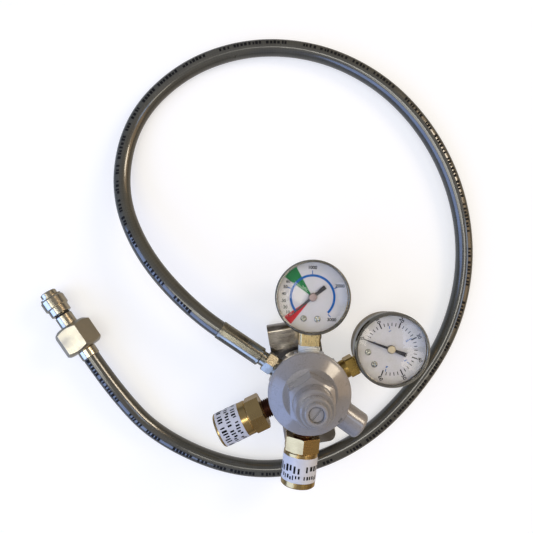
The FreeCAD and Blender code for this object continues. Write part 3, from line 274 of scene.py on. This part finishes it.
def turned_metal(name, colour, deep, rough, centre=(0, 0, 0), angle=0.0, lathe=True,
                 shank=None):
    """Machined metal with fine tool lines across its axis and uneven tarnish.

    A shank is the place along the axis up to which it is older, and the older colour.
    """
    s = Surface(name, Metallic=1.0)
    stretch = (1.0, 0.06, 0.06) if lathe else (0.06, 1.0, 1.0)
    lines = s.noise(s.mapped(centre, angle, stretch), 2600.0, 2.0, 0.7)
    blotches = s.noise(s.mapped(centre, angle, (1.0, 0.7, 0.7)), 110.0, 2.5, 0.5)
    tarnish = s.span(blotches, 0.42, 0.68)
    tone = s.mix(s.maths("MULTIPLY", tarnish, 0.38), colour, deep)
    tone = s.mix(s.span(lines, 0.45, 0.8, 0.0, 0.14), tone, deep)
    roughness = s.maths("ADD", s.span(tarnish, 0.0, 1.0, rough, rough + 0.12),
                        s.span(lines, 0.3, 0.7, -0.03, 0.05))
    if shank is not None:
        along = s.parts(s.mapped(centre, angle))["X"]
        shank_end, shank_colour = shank
        old = s.span(along, shank_end, shank_end - SHANK_BLEND)
        tone = s.mix(old, tone, shank_colour)
        roughness = s.maths("ADD", roughness, s.maths("MULTIPLY", old, 0.2))
    s.shade(Base_Color=tone, Roughness=roughness,
            Normal=s.bump(lines, 0.000008, 0.18, s.edges(METAL_EDGE)))
    return s.material


def polished_strip(name, colour, deep):
    """Rolled and polished steel with long faint scratches."""
    s = Surface(name, Metallic=1.0)
    rolled = s.noise(s.mapped(angle=BRACKET_ANGLE, stretch=(0.05, 1, 1)), 1800.0, 3.0, 0.7)
    clouds = s.noise(s.place, 60.0, 4.0, 0.6)
    tone = s.mix(s.span(clouds, 0.4, 0.65), colour, deep)
    s.shade(Base_Color=tone, Roughness=s.span(rolled, 0.3, 0.7, 0.12, 0.24),
            Normal=s.bump(rolled, 0.000006, 0.3, s.edges(STRIP_EDGE)))
    return s.material


def hose_cover(name):
    """Smooth dark thermoplastic over a braid that shows faintly as ridges."""
    s = Surface(name, Coat_Weight=1.0, Coat_Roughness=0.09, Coat_IOR=1.7, IOR=1.5)
    uv = s.parts(s.tree.nodes.new("ShaderNodeTexCoord").outputs["UV"])
    run = s.maths("MULTIPLY", uv["X"], HOSE_LENGTH / BRAID_PITCH * 2 * math.pi)
    round_it = s.maths("MULTIPLY", uv["Y"], BRAID_STRANDS * 2 * math.pi)
    one = s.maths("SINE", s.maths("ADD", run, round_it))
    other = s.maths("SINE", s.maths("SUBTRACT", run, round_it))
    braid = s.maths("MULTIPLY", one, other)
    smudge = s.noise(s.place, 70.0, 4.0, 0.6)
    tone = s.mix(s.span(smudge, 0.35, 0.7), (0.056, 0.054, 0.041), (0.035, 0.033, 0.025))
    tone = s.mix(s.span(braid, -1.0, 1.0, 0.0, 0.25), tone, (0.10, 0.097, 0.078))
    s.shade(Base_Color=tone, Roughness=s.span(smudge, 0.3, 0.7, 0.26, 0.4),
            Normal=s.bump(braid, 0.00004, 0.5))
    return s.material


def ink(name, colour):
    """Printing ink, laid slightly unevenly, with next to no shine."""
    s = Surface(name, Specular_IOR_Level=0.08)
    patchy = s.noise(s.place, 1500.0, 3.0, 0.6)
    paler = tuple(0.9 * c + 0.015 for c in colour)
    s.shade(Base_Color=s.mix(s.span(patchy, 0.45, 0.75), colour, paler),
            Roughness=s.span(patchy, 0.3, 0.7, INK_ROUGHNESS, INK_ROUGHNESS + 0.15))
    return s.material


def sheet_surface(name, colour, shadow, rough, grain, depth):
    """Paper, tape, plastic or enamel: a fine grain over a faint mottle."""
    s = Surface(name, Specular_IOR_Level=0.2)
    mottle = s.noise(s.place, 160.0, 4.0, 0.6)
    fine = s.noise(s.place, grain, 3.0, 0.6)
    s.shade(Base_Color=s.mix(s.span(mottle, 0.4, 0.75), colour, shadow),
            Roughness=s.span(fine, 0.3, 0.7, rough, rough + 0.12),
            Normal=s.bump(fine, depth, 0.4))
    return s.material


def tape_surface(name):
    """White thread tape, in overlapping turns along the tank gauge's port."""
    s = Surface(name, Subsurface_Weight=0.15, Subsurface_Radius=(0.001, 0.001, 0.001))
    along = s.parts(s.mapped(angle=TANK_ANGLE))["X"]
    drift = s.noise(s.place, 180.0, 3.0, 0.6)
    turns = s.maths("SINE", s.maths("ADD", s.maths("MULTIPLY", along, TAPE_TURNS),
                                    s.maths("MULTIPLY", drift, TAPE_WANDER)))
    seam = s.span(turns, -1.0, 0.0, 1.0, 0.0)
    s.shade(Base_Color=s.mix(seam, (0.80, 0.82, 0.80), (0.50, 0.51, 0.47)),
            Roughness=0.5, Normal=s.bump(turns, 0.00012, 0.7))
    return s.material


def pointer_surface(name, hub, cap_colour, metal):
    """Black enamel on the blade, with the cap over the arbor left as metal."""
    s = Surface(name)
    seen = s.parts(s.mapped(hub))
    reach = s.maths("SQRT", s.maths("ADD", s.maths("POWER", seen["X"], 2.0),
                                    s.maths("POWER", seen["Y"], 2.0)))
    cap = s.span(reach, CAP_OUTER, CAP_INNER)
    rings = s.maths("SINE", s.maths("MULTIPLY", reach, CAP_RINGS))
    fine = s.noise(s.place, 1200.0, 3.0, 0.6)
    darker = tuple(0.45 * c for c in cap_colour)
    turned = s.mix(s.span(rings, -1.0, 1.0, 0.0, 0.5), cap_colour, darker)
    s.shade(Base_Color=s.mix(cap, (0.012, 0.010, 0.012), turned),
            Metallic=s.maths("MULTIPLY", cap, metal),
            Roughness=s.span(fine, 0.3, 0.7, 0.3, 0.42),
            Normal=s.bump(fine, 0.00001, 0.3, s.edges(ENAMEL_EDGE)))
    return s.material


def lens_surface(name):
    """A clear dial window with a slight haze.

    Its index is set below acrylic's 1.49, so that it mirrors and bends less.
    """
    s = Surface(name, Transmission_Weight=1.0, IOR=LENS_IOR, Base_Color=(0.99, 0.99, 0.99, 1.0))
    haze = s.noise(s.place, 90.0, 4.0, 0.6)
    s.shade(Roughness=s.span(haze, 0.35, 0.8, 0.045, 0.07))
    return s.material


PAINT = painted_metal("grey_paint", (0.25, 0.24, 0.24), (0.13, 0.115, 0.095))
BRASS = (0.70, 0.49, 0.21)
BRASS_DEEP = (0.24, 0.14, 0.055)
NICKEL = (0.72, 0.67, 0.55)
NICKEL_DEEP = (0.30, 0.265, 0.20)
OLD_SHANK = (0.09, 0.035, 0.022)
port_centre = Vector((0, 0, PORT_HEIGHT))

left_brass = turned_metal("left_valve_brass", BRASS, BRASS_DEEP, 0.20, port_centre,
                          LEFT_ANGLE, shank=(0.0362, OLD_SHANK))
lower_brass = turned_metal("lower_valve_brass", BRASS, BRASS_DEEP, 0.20, port_centre,
                           LOWER_ANGLE, shank=(0.0343, OLD_SHANK))
tank_brass = turned_metal("tank_socket_brass", (0.84, 0.66, 0.34), (0.50, 0.34, 0.14), 0.26,
                          port_centre, TANK_ANGLE, lathe=False)
outlet_brass = turned_metal("outlet_socket_brass", (0.66, 0.45, 0.13), BRASS_DEEP, 0.22,
                            port_centre, OUTLET_ANGLE, lathe=False)
plain_brass = turned_metal("brass", BRASS, BRASS_DEEP, 0.28)
relief_brass = turned_metal("relief_brass", BRASS, BRASS_DEEP, 0.28, port_centre, RELIEF_ANGLE)
end_nickel = turned_metal("end_fitting_nickel", NICKEL, NICKEL_DEEP, 0.16, END_BASE, END_ANGLE)
nut_nickel = turned_metal("end_nut_nickel", (0.62, 0.58, 0.48), (0.45, 0.40, 0.30), 0.28,
                          END_BASE, END_ANGLE, lathe=False)
screw_nickel = turned_metal("dial_screw_nickel", (0.36, 0.36, 0.31), (0.10, 0.10, 0.085), 0.15)
ferrule_nickel = turned_metal("ferrule_nickel", (0.40, 0.38, 0.31), (0.20, 0.18, 0.135), 0.20,
                              port_centre, HOSE_ANGLE, lathe=False)
bezel_chrome = turned_metal("bezel_chrome", (0.36, 0.35, 0.31), (0.16, 0.15, 0.125), 0.12)
plain_steel = turned_metal("steel", (0.50, 0.49, 0.47), (0.25, 0.24, 0.22), 0.3)
spring_steel = turned_metal("spring_steel", (0.32, 0.31, 0.30), (0.16, 0.15, 0.14), 0.35)
strip = polished_strip("polished_steel", (0.50, 0.46, 0.41), (0.26, 0.225, 0.18))
case_lacquer = turned_metal("gauge_case", (0.30, 0.225, 0.10), (0.13, 0.10, 0.05), 0.28)
dial_white = sheet_surface("dial_white", (0.44, 0.425, 0.42), (0.40, 0.385, 0.355), 0.45, 1400.0,
                           0.000005)
label_paper = sheet_surface("label_paper", (0.60, 0.61, 0.66), (0.52, 0.53, 0.58), 0.35,
                            900.0, 0.00001)
nylon = sheet_surface("nylon", (0.80, 0.80, 0.76), (0.70, 0.69, 0.63), 0.40, 700.0, 0.00002)
rubber = sheet_surface("rubber", (0.022, 0.022, 0.021), (0.035, 0.034, 0.032), 0.55, 800.0,
                       0.00003)
tape_white = tape_surface("thread_tape")
lens_clear = lens_surface("lens")
tank_hub, outlet_hub = (sum(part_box(f"{gauge}_dial"), Vector()) / 2
                        for gauge in GAUGES)
tank_pointer = pointer_surface("tank_pointer", tank_hub, (0.30, 0.22, 0.19), 0.3)
outlet_pointer = pointer_surface("outlet_pointer", outlet_hub, (0.62, 0.52, 0.34), 0.9)

FINISHES = {
    "regulator_body": PAINT, "bonnet": PAINT, "relief_cap": PAINT,
    "adjusting_screw": PAINT, "spring_button": plain_steel, "push_pin": plain_steel,
    "back_plug": plain_brass, "valve_nozzle": plain_brass, "inlet_poppet": plain_brass,
    "diaphragm_plate": plain_brass, "seat_disc": nylon, "diaphragm": rubber,
    "poppet_spring": spring_steel, "range_spring": spring_steel,
    "left_valve_spring": spring_steel, "lower_valve_spring": spring_steel,
    "relief_spring": spring_steel, "probe_spring": spring_steel,
    "mounting_bracket": strip, "bracket_screws": plain_steel,
    "thread_tape": tape_white,
    "hose_adapter": ferrule_nickel, "hose_ferrule": ferrule_nickel,
    "end_ferrule": end_nickel, "end_nipple": end_nickel, "end_nut": nut_nickel,
    "probe_body": end_nickel, "probe_oring": rubber, "probe_poppet": plain_brass,
    "relief_poppet": relief_brass,
    "left_valve_body": left_brass, "left_valve_poppet": left_brass,
    "left_valve_retainer": left_brass, "left_valve_label": label_paper,
    "lower_valve_body": lower_brass, "lower_valve_poppet": lower_brass,
    "lower_valve_retainer": lower_brass, "lower_valve_label": label_paper,
}
for gauge, socket, pointer in zip(GAUGES, (tank_brass, outlet_brass),
                                  (tank_pointer, outlet_pointer)):
    FINISHES.update({
        f"{gauge}_case": case_lacquer, f"{gauge}_bezel": bezel_chrome,
        f"{gauge}_lens": lens_clear, f"{gauge}_dial": dial_white,
        f"{gauge}_dial_screws": plain_brass, f"{gauge}_pointer": pointer,
        f"{gauge}_socket": socket, f"{gauge}_bourdon_tube": plain_brass,
        f"{gauge}_movement": plain_brass,
    })
for name, material in FINISHES.items():
    nodes[name].data.materials.clear()
    nodes[name].data.materials.append(material)
for gauge in GAUGES:
    nodes[f"{gauge}_lens"].visible_shadow = False
hose.data.materials.append(hose_cover("hose_cover"))


# ---------------------------------------------------------------- mesh pieces

BLOCK_CUTS = 4
SHORTEST_DASH = 0.6
ARC_STEP = 3
NUMBER_WEIGHT = 0.00011


def mesh_piece(name, vertices, faces, material, smooth=False):
    """A new piece of the object from vertices and faces."""
    data = bpy.data.meshes.new(name)
    data.from_pydata([tuple(v) for v in vertices], [], faces)
    data.validate()
    data.materials.append(material)
    if smooth:
        data.polygons.foreach_set("use_smooth", [True] * len(data.polygons))
    made = bpy.data.objects.new(name, data)
    scene.collection.objects.link(made)
    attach(made, "regulator")
    return made


class Print:
    """Marks gathered into one mesh, laid out on a flat dial or round a barrel."""

    def __init__(self, place):
        self.place = place
        self.vertices = []
        self.faces = []

    def patch(self, corners):
        """One flat face, its corners given in the print's own two directions."""
        first = len(self.vertices)
        self.vertices += [self.place(u, v) for u, v in corners]
        self.faces.append(tuple(range(first, first + len(corners))))

    def block(self, left, right, low, high):
        """A rectangle, cut across so that it can follow a curve."""
        for i in range(BLOCK_CUTS):
            a = left + (right - left) * i / BLOCK_CUTS
            b = left + (right - left) * (i + 1) / BLOCK_CUTS
            self.patch([(a, low), (b, low), (b, high), (a, high)])

    def dash(self, left, right, low, high, draw):
        """One plain solid block, as long and tall as chance makes it."""
        length = (right - left) * draw.uniform(SHORTEST_DASH, 1.0)
        height = (high - low) * draw.uniform(SHORTEST_DASH, 1.0)
        base = draw.choice((low, high - height))
        self.block(left, left + length, base, base + height)

    def made(self, name, material, slot):
        return mesh_piece(name, self.vertices, self.faces, material)


class DialPrint(Print):
    """Marks on a dial: its own up direction points away from the regulator."""

    def __init__(self, hub, turn, height):
        level = Matrix.Rotation(turn, 3, "Z")
        base = Vector((hub.x, hub.y, height))
        super().__init__(lambda u, v: base + level @ Vector((u, v, 0)))

    def arc(self, inner, outer, start, end):
        """A band between two radii, from one angle to another, in degrees."""
        steps = max(2, int(abs(end - start) / ARC_STEP))
        angles = [math.radians(start + (end - start) * i / steps) for i in range(steps + 1)]
        for a, b in zip(angles, angles[1:]):
            corners = [(inner, a), (outer, a), (outer, b), (inner, b)]
            self.patch([(r * math.cos(t), r * math.sin(t)) for r, t in corners])

    def tick(self, angle, inner, outer, width):
        """A radial line."""
        a = math.radians(angle)
        along, across = (math.cos(a), math.sin(a)), (-math.sin(a), math.cos(a))
        corners = [(inner, -1), (outer, -1), (outer, 1), (inner, 1)]
        self.patch([(r * along[0] + side * width / 2 * across[0],
                     r * along[1] + side * width / 2 * across[1]) for r, side in corners])

    def number(self, words, angle, radius, size):
        """A number, upright on the dial, centred at an angle and radius."""
        data = bpy.data.curves.new("number", "FONT")
        data.body = words
        data.size = size
        data.align_x = "CENTER"
        data.align_y = "CENTER"
        data.offset = NUMBER_WEIGHT
        data.resolution_u = 3
        writing = bpy.data.meshes.new_from_object(bpy.data.objects.new("number", data))
        a = math.radians(angle)
        u, v = radius * math.cos(a), radius * math.sin(a)
        first = len(self.vertices)
        self.vertices += [self.place(u + p.co.x, v + p.co.y) for p in writing.vertices]
        self.faces += [tuple(first + i for i in face.vertices) for face in writing.polygons]


INK_BLACK = ink("ink_black", (0.008, 0.008, 0.009))
INK_BLUE = ink("ink_blue", (0.004, 0.075, 0.26))
INK_GREEN = ink("ink_green", (0.003, 0.125, 0.030))
INK_RED = ink("ink_red", (0.42, 0.010, 0.018))
DIAL_TOP = 0.0472
LAYER = 0.00003
BARREL_RADIUS = 0.0127
LABEL_THICKNESS = 0.00015
LABEL_INK_LIFT = 0.00004
LABEL_MARK_SHARE = 0.70
LABEL_WORD_GAP = 0.9
HOSE_INK_LIFT = 0.00005
HOSE_ROW_ANGLE = math.radians(22.0)
HOSE_MARK_HALF_TALL = 0.0017
HOSE_MARK_LENGTH = 0.0022
HOSE_MARK_PITCH = 0.0029
HOSE_WORD_GAPS = (0.0024, 0.0040, 0.0110)
HOSE_PRINT_START = 0.024
HOSE_PRINT_MARGIN = 0.014
SCREW_PROFILE = [(0.0, 0.00085), (0.0007, 0.00083), (0.0014, 0.00072), (0.0020, 0.0005),
                 (0.0023, 0.00015), (0.0023, 0.0)]
SCREW_SIDES = 48
SLOT_HALF_WIDTH = 0.00046
SLOT_DEPTH = 0.0007
SLOT_REACH = 0.0022
SLOT_FLOOR = 0.00002
SLOT_TURN = 0.8
SLOT_TURN_STEP = 1.1
SCREW_SPOTS = ((-0.0059, -0.0154), (0.0039, -0.0156))


def tank_dial():
    """The tank gauge's scale: a blue arc to 3000 with a green and a red sector."""
    turn = TANK_ANGLE - math.pi / 2
    offset = math.degrees(turn)
    sectors = ((INK_GREEN, "green", 118, 144), (INK_RED, "red", 214, 231))
    for material, colour, start, end in sectors:
        sector = DialPrint(tank_hub, turn, DIAL_TOP + LAYER)
        sector.arc(0.0028, 0.0246, start - offset, end - offset)
        sector.made(f"tank_dial_{colour}", material, "dial")
    blue = DialPrint(tank_hub, turn, DIAL_TOP + 2 * LAYER)
    blue.arc(0.01475, 0.01645, 222 - offset, -46 - offset)
    for angle in (158, 90, 21.5, -48):
        blue.tick(angle - offset, 0.0164, 0.0192, 0.0006)
    blue.made("tank_dial_arc", INK_BLUE, "dial")
    black = DialPrint(tank_hub, turn, DIAL_TOP + 3 * LAYER)
    for words, angle in (("1000", 90), ("2000", 22), ("3000", -50)):
        black.number(words, angle - offset, 0.0212, 0.0033)
    for i, angle in enumerate((211, 200, 187, 173, 159, 147)):
        black.number(str(10 * (i + 1)), angle - offset, 0.0208, 0.0031)
    black.made("tank_dial_numbers", INK_BLACK, "dial")


def outlet_dial():
    """The outlet gauge's scale, from 0 to 60 with five parts to each number."""
    turn = OUTLET_ANGLE - math.pi / 2
    zero = 159.7 - math.degrees(turn)
    black = DialPrint(outlet_hub, turn, DIAL_TOP + LAYER)
    for i in range(31):
        long_mark = i % 5 == 0
        inner = 0.0160 if long_mark else 0.0166
        outer = 0.0202 if long_mark else 0.0190
        black.tick(zero - 9.0 * i, inner, outer, 0.0009 if long_mark else 0.0006)
    for i in range(7):
        black.number(str(10 * i), zero - 45.0 * i, 0.0221, 0.0037)
    black.made("outlet_dial_scale", INK_BLACK, "dial")
    blue = DialPrint(outlet_hub, turn, DIAL_TOP + 2 * LAYER)
    for i in range(5):
        blue.tick(zero - 66.0 * i, 0.0146, 0.0166, 0.0005)
    for i in range(5):
        blue.number(str(i), zero - 66.0 * i, 0.0130, 0.0026)
    blue.made("outlet_dial_inner_scale", INK_BLUE, "dial")


def label_marks(name, angle, rows, seed):
    """Rows of plain blocks printed round an outlet valve's label.

    Each row has its middle along the valve, its height and the pitch of its blocks.
    """
    radius = BARREL_RADIUS + LABEL_THICKNESS + LABEL_INK_LIFT
    along, across = heading(angle), heading(angle + math.pi / 2)

    def place(turn, reach):
        outwards = across * math.sin(turn) + UP * math.cos(turn)
        return along * reach + outwards * radius + Vector((0, 0, PORT_HEIGHT))

    marks = Print(place)
    draw = random.Random(seed)
    for middle, height, pitch in rows:
        low, high = middle - height / 2, middle + height / 2
        turn = -math.pi
        while turn < math.pi - pitch:
            for _ in range(draw.randint(3, 7)):
                if turn > math.pi - pitch:
                    break
                marks.dash(turn, turn + pitch * LABEL_MARK_SHARE, low, high, draw)
                turn += pitch
            turn += pitch * LABEL_WORD_GAP
    marks.made(name, INK_BLACK, "label")


def hose_marks():
    """A row of small plain blocks printed along the hose."""
    line = centreline(hose)
    steps = [(b - a).length for a, b in zip(line, line[1:])]
    total = sum(steps)
    radius = HOSE_RADIUS + HOSE_INK_LIFT
    half_tall = HOSE_MARK_HALF_TALL / HOSE_RADIUS

    def place(turn, reach):
        left_over = reach
        for a, b, step in zip(line, line[1:], steps):
            if left_over <= step:
                break
            left_over -= step
        tangent = (b - a).normalized()
        centre = a + (b - a) * (left_over / step)
        side = UP.cross(tangent).normalized()
        top = tangent.cross(side)
        angle = HOSE_ROW_ANGLE + turn
        return centre + (top * math.cos(angle) + side * math.sin(angle)) * radius

    marks = Print(place)
    draw = random.Random(11)
    reach = HOSE_PRINT_START
    while reach < total - HOSE_PRINT_MARGIN:
        for _ in range(draw.randint(3, 9)):
            marks.dash(-half_tall, half_tall, reach, reach + HOSE_MARK_LENGTH, draw)
            reach += HOSE_MARK_PITCH
        reach += draw.choice(HOSE_WORD_GAPS)
    return marks.made("hose_print", INK_BLACK, "hose_cover")


def on_dial(hub, turn, u, v):
    """A place on a dial's face, in the dial's own two directions."""
    return Vector((hub.x, hub.y, DIAL_TOP)) + Matrix.Rotation(turn, 3, "Z") @ Vector((u, v, 0))


def dial_screws(name, spots, node):
    """Two small domed screws with a slot each, in place of a gauge's plain ones."""
    vertices, faces = [], []
    crown_height = SCREW_PROFILE[0][1]
    rings = SCREW_PROFILE[1:]
    for spot, slot_turn in spots:
        first = len(vertices)
        for radius, height in rings:
            for i in range(SCREW_SIDES):
                a = 2 * math.pi * i / SCREW_SIDES
                x, y = radius * math.cos(a), radius * math.sin(a)
                across = abs(-x * math.sin(slot_turn) + y * math.cos(slot_turn))
                in_slot = across < SLOT_HALF_WIDTH and radius < SLOT_REACH
                sunk = SLOT_DEPTH if in_slot else 0.0
                vertices.append(spot + Vector((x, y, max(height - sunk, SLOT_FLOOR))))
        crown = len(vertices)
        vertices.append(spot + Vector((0, 0, crown_height - SLOT_DEPTH)))
        for i in range(SCREW_SIDES):
            j = (i + 1) % SCREW_SIDES
            faces.append((crown, first + i, first + j))
            for k in range(len(rings) - 1):
                low, high = first + k * SCREW_SIDES, first + (k + 1) * SCREW_SIDES
                faces.append((low + i, high + i, high + j, low + j))
    made = mesh_piece(name, vertices, faces, screw_nickel, smooth=True)
    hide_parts(node)


def coils():
    """Copies of the springs that the joints list as deforming, each with a mesh of its own, in
    place of the plain ones.
    """
    made = {}
    for joint in frame["joints"]:
        for entry in joint.get("deforming_nodes") or ():
            node = entry["node"]
            coil = bpy.data.objects.new(f"{node}_coil", nodes[node].data.copy())
            scene.collection.objects.link(coil)
            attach(coil, "regulator")
            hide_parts(node)
            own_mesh(coil)
            made[node] = coil
    return made


tank_dial()
outlet_dial()
label_marks("left_label_marks", LEFT_ANGLE,
            ((0.0567, 0.0034, 0.17), (0.0617, 0.0035, 0.18), (0.0672, 0.0040, 0.18)), 5)
label_marks("lower_label_marks", LOWER_ANGLE,
            ((0.0566, 0.0056, 0.25), (0.0625, 0.0034, 0.17)), 9)
printed = hose_marks()
for gauge, hub, angle in zip(GAUGES, (tank_hub, outlet_hub), (TANK_ANGLE, OUTLET_ANGLE)):
    dial_screws(f"{gauge}_slotted_screws",
                [(on_dial(hub, angle - math.pi / 2, u, v), SLOT_TURN + SLOT_TURN_STEP * i)
                 for i, (u, v) in enumerate(SCREW_SPOTS)],
                f"{gauge}_dial_screws")
springs = coils()


# ---------------------------------------------------------------- studio

FLOOR_HALF = 4.0
COOL_LEFT = (0.70, 0.80, 1.0)
WARM_RIGHT = (0.80, 0.66, 0.48)
BELOW, HORIZON, ABOVE = (0.50,) * 3, (0.15,) * 3, (0.30,) * 3
BACKDROP = (0.86, 0.87, 0.88, 1.0)
PANE_MIDDLE = 32.7
PANE_STEP = 7.0


def floor_plane():
    """A plain pale floor, which glows a little and isn't mirrored in the object."""
    half = FLOOR_HALF
    data = bpy.data.meshes.new("floor")
    data.from_pydata([(-half, -half, 0), (half, -half, 0), (half, half, 0), (-half, half, 0)],
                     [], [(0, 1, 2, 3)])
    s = Surface("floor", Roughness=0.9, Base_Color=(0.52, 0.52, 0.52, 1.0),
                Specular_IOR_Level=0.1, Emission_Color=(1.0, 1.0, 1.0, 1.0),
                Emission_Strength=0.53)
    data.materials.append(s.material)
    made = bpy.data.objects.new("floor", data)
    made.visible_glossy = False
    scene.collection.objects.link(made)


def panel(name, azimuth, elevation, distance, size, colour, radiance, mirrored=True):
    """A square softbox that faces the object, of a given brightness."""
    data = bpy.data.lights.new(name, "AREA")
    data.shape = "RECTANGLE"
    data.size, data.size_y = size
    data.color = colour
    data.energy = radiance * math.pi * size[0] * size[1]
    a, e = math.radians(azimuth), math.radians(elevation)
    towards = Vector((math.cos(e) * math.cos(a), math.cos(e) * math.sin(a), math.sin(e)))
    made = bpy.data.objects.new(name, data)
    made.location = towards * distance
    made.rotation_euler = towards.to_track_quat("Z", "Y").to_euler()
    made.visible_camera = False
    made.visible_glossy = mirrored
    scene.collection.objects.link(made)


def studio_world():
    """Soft ambient light, cool from the left, warm from the right, dimmest at the horizon.

    The camera itself sees a plain pale backdrop, which lights nothing.
    """
    world = bpy.data.worlds.new("studio")
    scene.world = world
    world.use_nodes = True
    links, made = world.node_tree.links, world.node_tree.nodes
    place = made.new("ShaderNodeTexCoord")
    axes = made.new("ShaderNodeSeparateXYZ")
    links.new(place.outputs["Generated"], axes.inputs["Vector"])

    def ramp(axis, low, high, first, last, middle=None):
        span = made.new("ShaderNodeMapRange")
        span.inputs["From Min"].default_value = low
        span.inputs["From Max"].default_value = high
        colours = made.new("ShaderNodeValToRGB")
        colours.color_ramp.elements[0].color = (*first, 1.0)
        colours.color_ramp.elements[1].color = (*last, 1.0)
        if middle is not None:
            colours.color_ramp.elements.new(0.5).color = (*middle, 1.0)
        links.new(axes.outputs[axis], span.inputs["Value"])
        links.new(span.outputs["Result"], colours.inputs["Fac"])
        return colours.outputs["Color"]

    sides = ramp("X", -1.0, 1.0, COOL_LEFT, WARM_RIGHT)
    height = ramp("Z", -0.5, 0.4, BELOW, ABOVE, HORIZON)
    both = made.new("ShaderNodeMix")
    both.data_type = "RGBA"
    both.blend_type = "MULTIPLY"
    both.inputs["Factor"].default_value = 1.0
    links.new(sides, both.inputs[6])
    links.new(height, both.inputs[7])
    seen = made.new("ShaderNodeMix")
    seen.data_type = "RGBA"
    links.new(made.new("ShaderNodeLightPath").outputs["Is Camera Ray"], seen.inputs["Factor"])
    links.new(both.outputs[2], seen.inputs[6])
    seen.inputs[7].default_value = BACKDROP
    links.new(seen.outputs[2], made["Background"].inputs["Color"])
    made["Background"].inputs["Strength"].default_value = 1.0


floor_plane()
studio_world()
panel("overhead", 150, 66, 1.4, (1.6, 1.6), (1.0, 0.97, 0.92), 0.70, mirrored=False)
panel("top_lamp", 150, 83, 1.3, (0.26, 0.26), (1.0, 0.96, 0.86), 4.5)
panel("window_left", 208, 30, 1.6, (2.2, 1.3), (0.34, 0.50, 1.0), 2.6)
panel("room_right", 15, 28, 1.8, (2.0, 1.3), (1.0, 0.62, 0.30), 0.90)
panel("nut_light", 196, 68, 1.3, (0.42, 0.42), (1.0, 0.97, 0.84), 3.0)
panel("sky_high_right", 5, 60, 1.3, (0.36, 0.34), (0.55, 0.70, 1.0), 2.6)
panel("cream_high_right", -25, 57, 1.3, (0.30, 0.30), (1.0, 0.93, 0.78), 3.0)
for i in (-1, 0, 1):
    panel(f"lamp_pane_{i + 2}", PANE_MIDDLE + PANE_STEP * i, 35, 1.5, (0.15, 0.42),
          (1.0, 0.88, 0.70), 9.0)

bpy.context.view_layer.update()
